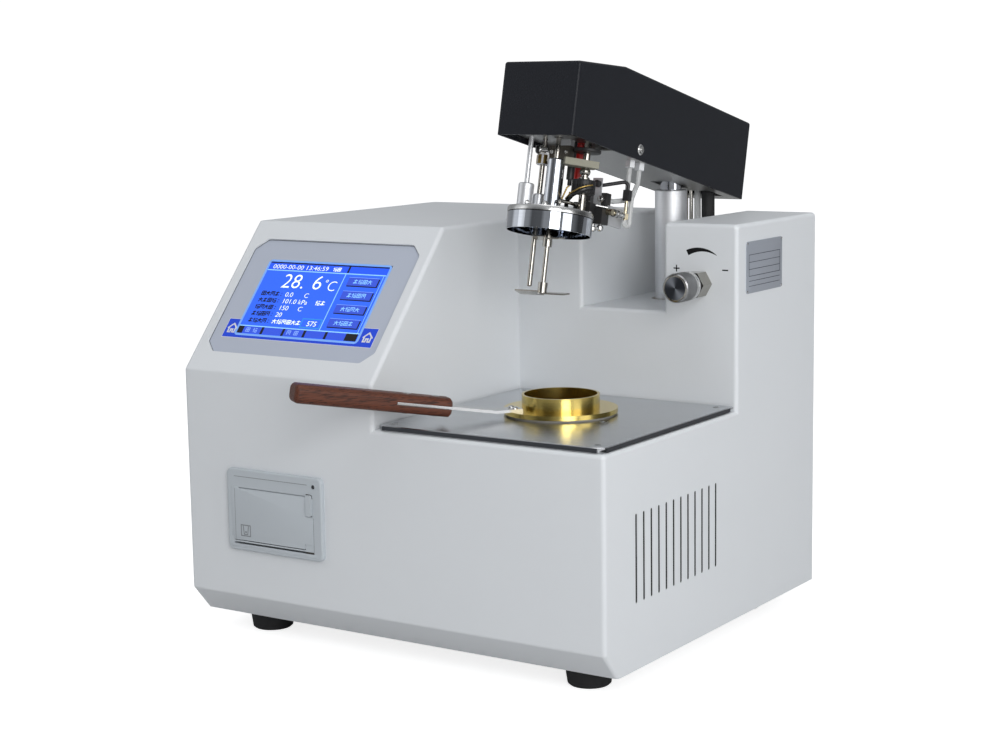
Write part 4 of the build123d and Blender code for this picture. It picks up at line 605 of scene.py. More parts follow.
draw(rounded(-56.2, -34.2, 55.6, 32.7, 3.0), "frame", 1)
draw(rounded(-54.4, -32.6, 53.9, 31.1, 1.6), "field", 2)
for edges, colour, layer in (
    ((-54.2, 29.7, 53.7, 30.9), "ink", 3), ((-54.2, 24.1, 53.7, 29.8), "strip", 3.5),
    ((18.4, 24.1, 20.0, 29.8), "ink", 4), ((-54.2, 23.2, 53.7, 24.0), "line", 4),
    ((17.9, -25.4, 18.6, 23.2), "line", 3), ((51.8, -25.4, 52.2, 23.2), "line", 3),
    ((-54.2, -26.2, 53.7, -25.4), "line", 4), ((-54.2, -32.2, 53.0, -26.2), "tab", 3),
):
    draw(rectangle(*edges), colour, layer)
for x_low, x_high in ((-54.2, -49.3), (-33.0, -30.8), (-13.8, -11.6), (5.4, 7.6), (24.6, 26.8), (43.0, 53.3)):
    draw(rectangle(x_low, -32.3, x_high, -26.2), "ink", 4)

signs = (
    ([(0, 0.8), (4, 0.8)], [(0.4, 3.2), (3.6, 3.2)], [(2, 4), (2, 0)], [(1.9, 2.2), (0.2, 0.1)]),
    ([(0.4, 0), (0.4, 3.8), (3.6, 3.8), (3.6, 0)], [(1.2, 2.5), (2.8, 2.5)], [(2, 3.1), (2, 0.9)]),
    ([(0, 2.6), (4, 2.6)], [(2, 4), (1.8, 2.2), (0.2, 0)], [(2, 2.4), (3.8, 0)]),
    (
        [(0.9, 4), (0.9, 0)], [(0, 2.7), (1.8, 2.7)], [(2.2, 3.5), (4, 3.5)],
        [(2.4, 1.9), (3.8, 1.9), (3.8, 0.1), (2.4, 0.1), (2.4, 1.9)],
    ),
    ([(0.3, 3.7), (3.7, 3.7), (3.7, 0.3), (0.3, 0.3), (0.3, 3.7)], [(0.3, 2), (3.7, 2)], [(2, 3.7), (2, 0.3)]),
)


def written(order, x, y, size, pitch, colour, weight):
    """A row of made-up signs in even strokes, with the look of short words."""
    grid = 4
    for i, kind in enumerate(order):
        for line in signs[kind]:
            points = [(x + i * pitch + px * size / grid, y + py * size / grid) for px, py in line]
            draw(stroke(points, weight), colour, 5)


for key_high, order in ((20.9, (0, 3, 4, 2)), (9.1, (0, 3, 4, 1)), (-2.7, (2, 3, 1, 2)), (-14.6, (2, 3, 4, 0))):
    draw(rectangle(23.3, key_high - 8.1, 50.4, key_high - 0.8), "ink", 3)
    for depth, colour, layer in ((7.2, "key", 4), (0.3, "soft", 4.5)):
        draw(rectangle(22.7, key_high - depth, 49.2, key_high), colour, layer)
    written(order, 28.0, key_high - 5.4, 3.6, 4.2, "line", 0.5)
for row_y, order in (
    (1.2, (4, 2, 1, 0)), (-4.6, (2, 0, 4, 3)), (-10.5, (3, 1, 2, 4)), (-16.4, (0, 3, 4, 1)), (-22.4, (0, 3, 2, 1)),
):
    written(order, -48.9, row_y, 3.7, 4.2, "ink", 0.72)
    for low, high in ((0.2, 1.0), (2.2, 3.0)):
        draw(rectangle(-30.9, row_y + low, -30.1, row_y + high), "ink", 3)
figures("0000-00-00 13:46:59", 5.3, -50.4, 25.0, widen=1.16)
written((3, 4), 5.2, 25.2, 3.2, 3.8, "white", 0.45)
figures("28.", 17.5, -35.2, 8.6)
figures("6", 17.5, -7.4, 8.6, widen=1.05)
figures("C", 12.5, 6.9, 8.0, thin=0.035, widen=0.92)
degree_x, degree_y, degree_r = 4.8, 16.4, 0.9
degree_ring = [(degree_x + degree_r * cos(i * pi / 8), degree_y + degree_r * sin(i * pi / 8)) for i in range(17)]
draw(stroke(degree_ring, 0.4), "white", 4)
for text, x, y in (
    ("0.0", -26.9, 1.0), ("C", -9.6, 1.0), ("101.0 kPa", -26.9, -4.8), ("150", -26.9, -10.7), ("C", -9.6, -10.7),
    ("20", -26.9, -16.6),
):
    figures(text, 5.6, x, y, thin=0.022, widen=1.06)
written((3, 0), 3.6, -4.6, 3.8, 4.6, "white", 0.5)
written((2, 3, 1, 4, 2, 0), -27.0, -22.4, 3.7, 4.4, "white", 0.5)
figures("575", 6.0, 4.6, -22.6, thin=0.01)
draw(stroke(rectangle(-0.4, -24.0, 16.6, -16.6) + [(-0.4, -24.0)], 0.6), "teal", 3)
for order, x in (((4, 3), -46.8), ((1, 4), -9.2)):
    written(order, x, -31.0, 3.6, 6.6, "soft", 0.55)
placed("panel_picture", slope_seat, "cabinet", "screen", picture_finishes, *picture)

# --- Printer ---
# A small receipt printer in a moulded grey frame. The flap drops open over the paper, which
# leaves by the slit above it. A lamp and a long feed key sit at the right.
moulded_grey = finish(
    "moulded_grey", (0.51, 0.55, 0.585), (0.485, 0.525, 0.56), 0.46, Drift=0.06, Relief=0.3, Depth=0.1, Grain=2200.0,
)
# Two painted shades: a near black for gaps and slits, a dark grey for grooves and raised lines.
painted_gap_shade = finish("painted_gap_shade", (0.03, 0.028, 0.025), (0.05, 0.045, 0.04), 0.7)
painted_groove_shade = finish("painted_groove_shade", (0.20, 0.215, 0.23), (0.24, 0.255, 0.27), 0.5, Grain=2200.0)
paper_white = finish("paper_white", (0.72, 0.72, 0.70), (0.66, 0.66, 0.63), 0.75, Relief=0.2, Grain=3000.0)
dress(moulded_grey, "printer_housing", "printer_door", "feed_button")
dress(paper_white, "paper_roll")
printer_low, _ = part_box("printer_housing")
door_low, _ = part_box("printer_door")


def front_seat(y, x=shell_low.x, z=shell_low.z):
    """A place on an upright face that looks to the front."""
    return seat(Vector((x, y, z)), (1, 0, 0), (0, 0, 1))


def upright(outline, x, y, steps=24, hollow=False, z=0.0):
    """A turned form that stands at a place of its seat."""
    return moved(turned(outline, steps, hollow), Matrix.Translation((x, y, z)))


print_seat = front_seat(printer_low.y)
sill_outline = [
    (44.6, 59.0), (117.8, 59.0), (117.8, 63.9), (110.8, 63.9), (110.8, 60.0), (45.8, 60.0), (45.8, 63.9), (44.6, 63.9),
]
# In the frame trim, the grey lines are painted shade of grooves, and the dark strip under the flap's right end is
# painted shade of a slit; the ridge and the sill are moulded relief.
trim = (
    (rectangle(47.0, 106.3, 113.3, 106.7), 0.05, 0.0, 1), (rectangle(47.0, 105.8, 113.3, 106.3), 0.12, 0.0, 0),
    (rectangle(43.0, 55.4, 120.4, 57.6), 0.15, 0.1, 0), (rectangle(111.0, 57.6, 118.2, 59.0), 0.05, 0.0, 2),
    (sill_outline, 0.1, 0.0, 0), (rectangle(118.2, 57.6, 118.5, 83.4), 0.05, 0.0, 1),
)
placed(
    "printer_trim", print_seat, "cabinet", "grey_plastic", [moulded_grey, painted_groove_shade, painted_gap_shade],
    *[(extruded(outline, -0.4, high, bevel), number) for outline, high, bevel, number in trim],
)
lamp_place = (118.9, 105.6, 24)
placed(
    "printer_lamp", print_seat, "cabinet", "black_plastic", [black_glass, moulded_grey],
    upright([(0, 0.5), (1.2, 0.45), (1.5, 0.1), (1.5, -0.3), (0, -0.3)], *lamp_place),
    (upright([(1.5, -0.2), (2.3, -0.2), (2.3, 0.12), (1.5, 0.25)], *lamp_place, hollow=True), 1),
)
flap_outline = [
    (46.1, 60.6), (110.5, 60.6), (110.5, 64.2), (117.6, 64.2), (117.6, 83.8), (111.9, 83.8),
    (111.9, 97.6), (52.2, 97.6), (50.6, 98.9), (44.6, 98.9), (44.6, 64.2), (46.1, 64.2),
]
emblem_lines = (
    [(52.6, 63.9), (61.0, 63.9), (61.0, 71.6), (52.6, 71.6), (52.6, 63.5)],
    [(54.4, 71.2), (55.3, 65.0), (58.4, 65.0), (59.3, 71.2)],
)
# The flap's raised lines and emblem take the dark grey: painted shade along their edges.
raised = [rectangle(47.3, 60.0, 47.6, 97.5), rectangle(56.2, 66.0, 57.5, 67.4)]
raised += [stroke(line, 0.75) for line in emblem_lines]
placed(
    "flap_skin", front_seat(door_low.y), "printer_door", "grey_plastic", [moulded_grey, painted_groove_shade],
    extruded(flap_outline, 0.02, 0.4, 0.15), *[(extruded(outline, 0.0, 0.42), 1) for outline in raised],
)
key_low, key_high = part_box("feed_button")
key_middle = (key_low + key_high) / 2
key_seat = front_seat(printer_low.y, key_middle.x, key_middle.z)
# Round the feed key: a near black line along its top and upper right corner and a grey line under it, painted shade of
# the gap round the key.
placed(
    "key_edge", key_seat, "cabinet", "grey_plastic", [painted_groove_shade, painted_gap_shade],
    (extruded(stroke([(-2.6, 7.7), (1.2, 7.7), (2.4, 6.9), (2.9, 5.0)], 0.6), -0.5, 0.05), 1),
    extruded(rectangle(-2.4, -7.9, 2.4, -7.4), -0.5, 0.05),
)

# --- Needle valve and flame knob ---
# A nickel-plated brass valve is clamped in the wall by its hexagon. The knob is turned from
# steel: a polished rim, a spun face with a painted glint, a finely ridged side and a set screw on top.


def length_of(tree, first, second):
    """Distance from the origin in a plane."""
    return maths(tree, "SQRT", maths(tree, "MULTIPLY_ADD", first, first, maths(tree, "MULTIPLY", second, second)))


turned_marks, given, place = new_effect("turned_marks", Centre=(0.0, 0.0, 0.0), Turn=(0.0, 0.0, 0.0), Pitch=1800.0)
off_centre = vector_maths(turned_marks, "SUBTRACT", place, given["Centre"])
parts = split(turned_marks, turned_place(turned_marks, off_centre, given["Turn"]))
ways = (length_of(turned_marks, *parts[:2]), parts[2])
path = [maths(turned_marks, "MULTIPLY", way, given["Pitch"]) for way in ways]
tool_path = node(turned_marks, "ShaderNodeCombineXYZ", dict(enumerate(path)))
rings = noise(turned_marks, tool_path.outputs[0], 1.0, 3.0)
close_effect(turned_marks, given, rings, rings)

knob_low, knob_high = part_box("flame_knob")
knob_axis = (knob_low + knob_high) / 2
knob_axis.y = knob_low.y
to_front = (radians(90), 0.0, 0.0)
nickel = finish(
    "nickel", (0.42, 0.405, 0.37), (0.31, 0.30, 0.27), 0.09, turned_marks, 1.0, Drift=0.08, Relief=0.04,
    Centre=knob_axis, Turn=to_front,
)
spun_steel = finish(
    "spun_steel", (0.40, 0.40, 0.40), (0.26, 0.26, 0.27), 0.24, turned_marks, 1.0, Relief=0.35, Depth=0.05,
    Centre=knob_axis, Turn=to_front, Pitch=5000.0,
)
# The face's colour turns with the angle round the knob's axis: two bright fans of painted highlight where spun steel
# would glint. The tool marks are relief.
spun_face_painted_glint, given, place = new_effect("spun_face_painted_glint", Centre=(0.0, 0.0, 0.0), Pitch=6000.0)
parts = split(spun_face_painted_glint, vector_maths(spun_face_painted_glint, "SUBTRACT", place, given["Centre"]))
angle = maths(spun_face_painted_glint, "ARCTAN2", parts[2], parts[0])
painted_sheen_turn = 1.9  # which way the two painted bright fans of the face point
wave = maths(spun_face_painted_glint, "COSINE", maths(spun_face_painted_glint, "MULTIPLY_ADD", angle, 2.0, painted_sheen_turn))
painted_sheen = maths(spun_face_painted_glint, "POWER", maths(spun_face_painted_glint, "MULTIPLY_ADD", wave, 0.5, 0.5), 3.0)
reach = maths(spun_face_painted_glint, "MULTIPLY", length_of(spun_face_painted_glint, parts[0], parts[2]), given["Pitch"])
tool_path = node(spun_face_painted_glint, "ShaderNodeCombineXYZ", {0: reach})
close_effect(spun_face_painted_glint, given, painted_sheen, noise(spun_face_painted_glint, tool_path.outputs[0], 1.0, 3.0))
# Dark steel, with the lighter colour only in the painted highlight fans.
dark_spun_painted_glint = finish(
    "dark_spun_painted_glint", (0.035, 0.038, 0.046), (0.30, 0.32, 0.36), 0.3, spun_face_painted_glint, 0.8, Relief=0.35, Depth=0.05,
    Centre=knob_axis,
)
dress(nickel, "needle_valve")
dress(spun_steel, "flame_knob")
knob_seat = front_seat(knob_axis.y, knob_axis.x, knob_axis.z)
placed(
    "knob_face", knob_seat, "flame_knob", "chrome", [nickel, dark_spun_painted_glint],
    (turned([(0, 0.02), (7.9, 0.02), (7.9, -0.3), (0, -0.3)], 64), 1),
    turned([(7.9, -0.2), (8.0, 0.25), (8.5, 0.35), (9.2, 0.0), (9.3, -0.5), (8.2, -0.5)], 64, hollow=True),
)

ridges, given = new_tree("ridges", Start="Geometry", Count="Int", Radius="Float", Ridge="Vector")
circle = node(ridges, "GeometryNodeMeshCircle", {"Vertices": given["Count"], "Radius": given["Radius"]})
from_axis = node(ridges, "GeometryNodeInputPosition").outputs[0]
outward = node(ridges, "FunctionNodeAlignRotationToVector", {"Vector": from_axis}, axis="X")
ridge = node(ridges, "GeometryNodeMeshCube", {"Size": given["Ridge"]})
round_it = {"Points": circle.outputs[0], "Instance": ridge.outputs[0], "Rotation": outward.outputs[0]}
ring_of = node(ridges, "GeometryNodeInstanceOnPoints", round_it)
close_tree(ridges, given, ring_of)


def ring_of_ridges(name, count, radius, size, matrix, body, slot, surface_finish):
    """Upright ridges round an axis, as a knurling wheel presses them."""
    start = bpy.data.meshes.new("start")
    start.from_pydata([(0, 0, 0)], [], [])
    mesh = built(ridges, start, Count=count, Radius=radius, Ridge=size, Finish=surface_finish)
    mesh.transform(matrix)
    return piece(name, mesh, body, slot, surface_finish)


ridge_depth = 7.7
ridge_seat = knob_seat @ Matrix.Translation((0, 0, -ridge_depth))
ring_of_ridges("knob_ridges", 90, 9.93, (0.5, 0.3, 11.8), ridge_seat, "flame_knob", "chrome", spun_steel)
collar_outline = [
    (9.5, -18.8), (10.12, -18.6), (10.12, -16.8), (9.9, -16.5),
    (9.9, -16.1), (10.12, -15.8), (10.12, -14.3), (9.5, -14.1),
]
placed("knob_collar", knob_seat, "flame_knob", "chrome", [bright_steel], turned(collar_outline, 64, hollow=True))
screw_back, knob_r = 7.0 * mm, 9.9 * mm
set_screw_seat = seat(knob_axis + Vector((0, screw_back, knob_r)), (1, 0, 0), (0, 1, 0))
# The dark disc inside the screw's rim is painted shade of its socket.
placed(
    "knob_set_screw", set_screw_seat, "flame_knob", "steel", [nickel, painted_gap_shade],
    turned([(1.5, -0.6), (2.2, -0.6), (2.2, 0.12), (1.6, 0.16)], hollow=True),
    (turned([(0, 0.0), (1.6, 0.0), (1.6, -0.5), (0, -0.5)]), 1),
)

# --- Marks printed on the knob wall ---
# Black ink printed on the paint: a tapered arc that narrows towards less gas, with a plus and
# a minus at its ends.
ink = finish(
    "ink", (0.004, 0.004, 0.0045), (0.006, 0.006, 0.0065), 0.5, sockets={"Specular IOR Level": 0.2}, Grain=1500.0,
)
wall_back = 183.0 * mm
arc_x, arc_z, arc_r = 321.4, 238.6, 23.2
arc_start, arc_sweep, arc_steps = 117, 60, 24
half_thick, half_thin = 2.0, 0.06
outer, inner = [], []
for i in range(arc_steps + 1):
    share = i / arc_steps
    angle = radians(arc_start - arc_sweep * share)
    thick = half_thick * (1 - share) ** 0.8 + half_thin
    for line, reach in ((outer, arc_r + thick), (inner, arc_r - thick)):
        line.append((arc_x + reach * cos(angle), arc_z + reach * sin(angle)))
plus_and_minus = (
    ((299.8, 247.6, 304.6, 248.5), 0.05),
    ((301.75, 245.65, 302.65, 250.45), 0.055),
    ((338.2, 247.6, 342.8, 248.5), 0.05),
)
placed(
    "wall_marks", front_seat(shell_low.y + wall_back), "cabinet", "black_paint", [ink],
    extruded(outer + inner[::-1], -0.02, 0.05),
    *[extruded(rectangle(*edges), -0.02, high) for edges, high in plus_and_minus],
)

# --- Plate on the right side ---
# A bare aluminium plate with rounded corners and ruled lines. Four rivets, one in each
# corner, hold it flat on the painted side.
plate_alu = finish(
    "plate_alu", (0.42, 0.45, 0.51), (0.39, 0.42, 0.475), 0.32, brushed, 0.35, Drift=0.15, Spread=(900.0, 12.0, 900.0),
)
plate_edge = finish("plate_edge", (0.10, 0.11, 0.14), (0.13, 0.14, 0.17), 0.4, metal=0.6)
side_seat = seat(Vector((shell_high.x, shell_low.y, shell_low.z)), (0, 1, 0), (0, 0, 1))
plate_lines = [
    stroke(rectangle(200, low, 249, high) + [(200, low)], 0.45) for low, high in ((242.6, 257.6), (247.4, 252.4))
]
plate_lines += [rectangle(200, low, 249, high) for low, high in ((238.9, 239.3), (235.3, 235.7))]
placed(
    "side_plate", side_seat, "cabinet", "alu", [plate_alu, plate_edge],
    extruded(rounded(196, 230.5, 253, 267, 2.0), -0.1, 0.5, 0.15),
    *[(extruded(line, 0.4, 0.56), 1) for line in plate_lines],
)
plate_places = [(side_seat @ Vector((y, z, 0.45)), (1, 0, 0)) for y in (197.4, 251.6) for z in (231.9, 265.6)]
plate_rivet = turned([(0, 0), (1.0, 0), (0.95, 0.35), (0.5, 0.6), (0, 0.7)], 16)
fixed_at("plate_rivets", plate_places, plate_rivet, "cabinet", "alu", bright_steel)

# --- Rear fittings ---
# Fan in its square frame with a turning rotor, the mains inlet with its rocker switch, and
# the brass gas inlet with a ribbed end for the hose. The column's bushing is of the same brass.
moulded_black = finish(
    "moulded_black", (0.013, 0.013, 0.014), (0.020, 0.020, 0.021), 0.42, Drift=0.08, Relief=0.3, Depth=0.15,
    Grain=1800.0,
)
dress(moulded_black, "fan_frame", "fan_rotor", "power_inlet", "rocker_switch")
gas_low, gas_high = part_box("gas_inlet")
gas_axis = (gas_low + gas_high) / 2
gas_axis.y = gas_high.y
brass_fitting = finish(
    "brass_fitting", (0.62, 0.42, 0.13), (0.45, 0.29, 0.08), 0.22, turned_marks, 1.0, Drift=0.12, Relief=0.08,
    Centre=gas_axis, Turn=to_front,
)
dress(brass_fitting, "gas_inlet", "column_bushing")

# --- Parts inside the cabinet ---
# A power supply in a perforated case and the lift motor stand on the base pan. A black sheet
# behind the side's slots, with ribs that fill the slots, is painted shade inside the vents.
plain_alu = finish(
    "plain_alu", (0.58, 0.59, 0.60), (0.47, 0.48, 0.49), 0.34, brushed, 1.0, Drift=0.12, Spread=(60.0, 700.0, 700.0),
)
dress(plain_alu, "power_supply", "lift_actuator")
# Near black for the sheet and ribs in the side's slots: painted shade inside the vents.
vent_shade_black = finish("vent_shade_black", (0.012, 0.012, 0.013), (0.02, 0.02, 0.021), 0.9, Relief=0.6, Depth=0.3)
slots_middle, slot_pitch, half_slot = 95.5, 10.08, 1.16
slot_rows = [slots_middle + (i - 5.5) * slot_pitch for i in range(12)]
placed(
    "dust_filter", side_seat, "cabinet", "dark_sheet", [vent_shade_black],
    extruded(rectangle(30.0, 38.0, 161.0, 111.0), -2.6, -2.0, 0.2),
    *[extruded(rounded(y - half_slot, 44.84, y + half_slot, 104.16, 1.15, 4), -2.3, -0.25) for y in slot_rows],
)

# --- Column ---
# A satin ground tube that rises through the ledge, with a polished head inside it whose eye
# holds the arm's pin. Guide rods, the gas hose and the cable conduit rise behind it.
tube_low, tube_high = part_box("column_tube")
column_axis = (tube_low + tube_high) / 2
column_axis.z = 0.0
satin_tube = finish(
    "satin_tube", (0.84, 0.85, 0.87), (0.78, 0.79, 0.81), 0.42, turned_marks, 0.85, Drift=0.08, Relief=0.10,
    Depth=0.03, Centre=column_axis, Pitch=900.0,
)
mirror_chrome = finish(
    "mirror_chrome", (0.66, 0.68, 0.72), (0.60, 0.62, 0.66), 0.04, turned_marks, 1.0, Drift=0.03, Relief=0.01,
    Depth=0.02, Centre=column_axis, Pitch=700.0,
)
rod_steel = finish(
    "rod_steel", (0.62, 0.60, 0.55), (0.50, 0.48, 0.44), 0.14, brushed, 1.0, Drift=0.10, Relief=0.04,
    Spread=(900.0, 900.0, 12.0),
)
dress(satin_tube, "column_tube")
dress(mirror_chrome, "column_head")
dress(rod_steel, "pivot_pin", "lift_yoke", "guide_rods")
milky_tube = finish(
    "milky_tube", (0.82, 0.83, 0.83), (0.74, 0.75, 0.75), 0.22, sockets={"Transmission Weight": 0.45, "IOR": 1.3},
    Drift=0.08, Relief=0.05,
)
dress(milky_tube, "gas_hose")
dress(rubber, "cable_conduit")

# --- Arm cover ---
# A folded box in black textured paint. A hexagon socket screw with a cupped washer sits on
# each side, above the hoses.
pin_low, pin_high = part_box("pivot_pin")
pivot = (pin_low + pin_high) / 2
arm_tilt = radians(13.1)
arm_reach = 158.7  # from the column's axis to the test cover's axis
pin_rise = 16.0  # from the arm's underside to its pin
tilted = Matrix.Translation(pivot) @ Matrix.Rotation(-arm_tilt, 4, "X")
arm_seat = tilted @ Matrix.Scale(mm, 4) @ Matrix.Translation((0, 0, -pin_rise))
arm_y, arm_z = (Vector(arm_seat.col[i][:3]).normalized() for i in (1, 2))
textured_black = finish(
    "textured_black", (0.0095, 0.0108, 0.0150), (0.013, 0.0145, 0.019), 0.36, sockets={"Specular IOR Level": 0.2},
    Drift=0.07, Relief=0.5, Grain=1500.0,
)
dress(textured_black, "arm_cover")

arm_half_w, screw_along, screw_rise = 30.0, -99.4, 7.2
for side, name in ((1, "right"), (-1, "left")):
    side_screw_seat = seat(arm_seat @ Vector((side * arm_half_w, screw_along, screw_rise)), arm_y * side, arm_z)
    placed(
        f"side_screw_{name}", side_screw_seat, "arm", "chrome", [bright_steel],
        turned([(0, 0), (3.9, 0), (3.9, 0.3), (3.3, 0.9), (2.5, 0.9), (2.4, 0.4), (0, 0.4)], 40),
        moved(screw_head(2.2, 1.5, "hex"), Matrix.Translation((0, 0, 0.3))),
    )

# --- Arm underside ---
# Satin stainless plate, with the frame plate of the open bay at the nose. The motor and the
# pivot bracket are bolted on from inside.
satin_steel = finish(
    "satin_steel", (0.47, 0.47, 0.46), (0.38, 0.38, 0.37), 0.30, brushed, 1.0, Drift=0.14, Turn=(-arm_tilt, 0.0, 0.0),
    Spread=(900.0, 25.0, 900.0),
)
dress(satin_steel, "arm_plate", "pivot_bracket")
dress(plain_alu, "stirrer_motor")

# --- Test cover and drive housing ---
# The cover is turned from brass and chromed like a mirror, with a thin step under its top
# and a dark band below the step, painted shade of a groove.
# The drive housing on it is a chromed sleeve round the stirrer's shaft.


def head_seat(x, y, z):
    """A place on the test head: x and y from the cover's axis, z above the arm's underside."""
    return arm_seat @ Matrix.Translation((x, y - arm_reach, z))


cover_axis = head_seat(0, 0, 0).translation
chrome_lid = finish(
    "chrome_lid", (0.56, 0.585, 0.63), (0.50, 0.525, 0.57), 0.035, turned_marks, 1.0, Drift=0.03, Relief=0.015,
    Depth=0.02, Centre=cover_axis, Turn=(arm_tilt, 0.0, 0.0), Pitch=700.0,
)
dress(chrome_lid, "test_cover", "drive_housing")

# --- Probe and detector ---
# The probe slides in a bead-blasted aluminium gland with a set screw at its foot; the flash
# detector is a finely ribbed post with a hexagon and a brass ring above it.
blasted_alu = finish(
    "blasted_alu", (0.80, 0.81, 0.83), (0.74, 0.75, 0.77), 0.34, metal=0.65, Drift=0.08, Relief=0.3, Depth=0.05,
    Grain=2600.0,
)
arm_steel = finish(
    "arm_steel", (0.50, 0.48, 0.44), (0.36, 0.34, 0.31), 0.12, brushed, 1.0, Drift=0.10, Relief=0.015,
    Turn=(arm_tilt, 0.0, 0.0), Spread=(900.0, 900.0, 12.0),
)
dress(blasted_alu, "probe_gland", "flash_detector")
dress(arm_steel, "temperature_probe", "stirrer", "shutter", "flame_nozzle")

# --- Igniter group ---
# A cream insulating plate under a zinc plated bracket carries the red coil, the black spring
# housing and the blocks of the gas valve. Steel posts, brass strips, leads and small screws
# tie them to the arm and to the cover.
cream_board = finish("cream_board", (0.34, 0.33, 0.26), (0.28, 0.27, 0.21), 0.55, Relief=0.3, Grain=900.0, Cloud=80.0)
red_gloss = finish("red_gloss", (0.72, 0.015, 0.012), (0.62, 0.012, 0.01), 0.3, sockets={"Coat Weight": 0.3})
zinc_plate = finish("zinc_plate", (0.62, 0.63, 0.65), (0.55, 0.56, 0.58), 0.38, metal=0.55, Grain=1500.0)
bronze_block = finish(
    "bronze_block", (0.20, 0.18, 0.155), (0.12, 0.11, 0.095), 0.38, brushed, 0.8, Turn=(arm_tilt, 0.0, 0.0),
    Spread=(900.0, 30.0, 30.0),
)
# Dark steel for the wires and rings; it also gives the painted shade of the cover's groove.
dark_steel_and_groove_shade = finish(
    "dark_steel_and_groove_shade", (0.07, 0.07, 0.07), (0.035, 0.035, 0.035), 0.2, brushed, 0.9, Relief=0.05,
    Spread=(300.0, 300.0, 300.0),
)
strip_brass = finish(
    "strip_brass", (0.55, 0.38, 0.13), (0.40, 0.27, 0.09), 0.24, brushed, 1.0, Relief=0.05,
    Spread=(300.0, 300.0, 300.0),
)
dress(cream_board, "insulating_plate")
dress(red_gloss, "igniter_coil")
dress(arm_steel, "support_posts")
dress(moulded_black, "spring_housing", "solenoid_block", "pipe_clamp", "gas_block")
dress(zinc_plate, "head_bracket")


def tube(points, radius):
    """A round rod bent along the points, with flat ends."""
    form, points, side, rings = bmesh.new(), [Vector(point) for point in points], None, []
    sides = 12
    turns = [2 * pi * k / sides for k in range(sides)]
    for i, point in enumerate(points):
        ahead = (points[min(i + 1, len(points) - 1)] - points[max(i - 1, 0)]).normalized()
        side = (side - ahead * side.dot(ahead) if side else ahead.orthogonal()).normalized()
        other = ahead.cross(side)
        rings.append([form.verts.new(point + (side * cos(turn) + other * sin(turn)) * radius) for turn in turns])
    skin(form, rings, sides)
    for end in (rings[0][::-1], rings[-1]):
        form.faces.new(end)
    bmesh.ops.recalc_face_normals(form, faces=form.faces)
    return form


def lying(form, x, y, z, direction):
    """A form laid along a direction of the head."""
    turn = Vector(direction).to_track_quat("Z", "Y").to_matrix().to_4x4()
    return moved(form, Matrix.Translation((x, y, z)) @ turn)


head = head_seat(0, 0, 0)
spindle_x, spindle_y = 15, 14
washer_outline = [(2.55, -3.7), (9.0, -3.7), (9.5, -3.3), (9.5, -1.8), (9.0, -1.4), (2.55, -1.4)]
olive_outline = [(2.53, -19.2), (3.1, -18.8), (3.7, -17.6), (3.7, -16.0), (3.1, -14.8), (2.53, -14.4)]
collet_outline = [(2.53, -22.3), (3.7, -22.3), (3.7, -20.9), (2.9, -20.3), (2.53, -20.3)]
placed(
    "spindle_cover", head, "shutter", "black_plastic", [moulded_black, nickel],
    upright(washer_outline, spindle_x, spindle_y, 48, True),
    *[(upright(outline, spindle_x, spindle_y, 24, True), 1) for outline in (olive_outline, collet_outline)],
)
step_outline = [(29.1, -49.4), (29.36, -49.3), (29.36, -46.7), (28.9, -45.9), (28.2, -45.8), (28.2, -46.2)]
groove_shade_outline = [(29.0, -50.0), (29.24, -50.0), (29.24, -49.4), (29.0, -49.4)]
# The dark band under the step is painted shade of a groove.
placed(
    "cover_step", head, "arm", "chrome", [bright_steel, dark_steel_and_groove_shade],
    turned(step_outline, 96, True), (turned(groove_shade_outline, 96, True), 1),
)
drum_seat = head_seat(spindle_x, spindle_y, -27.2)
ring_of_ridges("drum_flutes", 26, 7.75, (0.8, 0.9, 8.8), drum_seat, "arm", "black_plastic", moulded_black)
leads = (
    (1.5, 0, [(23.6, 11.5, -27.6), (22.4, 7.4, -28.8), (18.5, 4.4, -31.0), (13.0, 3.8, -34.2), (8.0, 6.4, -37.6),
              (5.2, 10.2, -40.4), (4.6, 12.6, -45.6)]),
    (0.5, 1, [(24.2, 10.4, -26.2), (22.8, 6.0, -27.4), (18.4, 2.8, -29.6), (12.6, 2.3, -33.0), (7.2, 5.0, -36.6)]),
    (0.6, 1, [(3.4, 14.2, -26.4), (2.4, 13.2, -27.8), (0.4, 12.8, -33.4), (-1.6, 12.4, -39.4), (-2.0, 12.2, -45.7)]),
    (0.75, 1, [(5.0, 13.6, -30.6), (4.4, 13.4, -36.0), (3.2, 13.2, -45.7)]),
)
placed(
    "shutter_crank", head, "arm", "black_plastic", [dark_steel_and_groove_shade, strip_brass],
    *[(tube(points, radius), number) for radius, number, points in leads],
)
small_dome = [(0, -46), (2.0, -46), (2.0, -44.6), (1.7, -43.5), (0.9, -42.8), (0, -42.6)]
round_head = [(0, -5.0), (1.3, -4.8), (2.3, -3.9), (2.6, -2.5), (2.3, -1.1), (1.4, -0.5), (1.4, 0.0), (0, 0.0)]
long_head = round_head[:-2] + [(1.4, 4.4), (0, 4.4)]
probe_screw = [(0, -4.3), (1.4, -4.3), (1.4, 0), (2.6, 0.3), (2.9, 1.0), (2.9, 3.6), (2.5, 4.3), (0, 4.3)]
probe_screw_place = (-13.6, 1.9, -3.9, (-1, -0.25, 0))
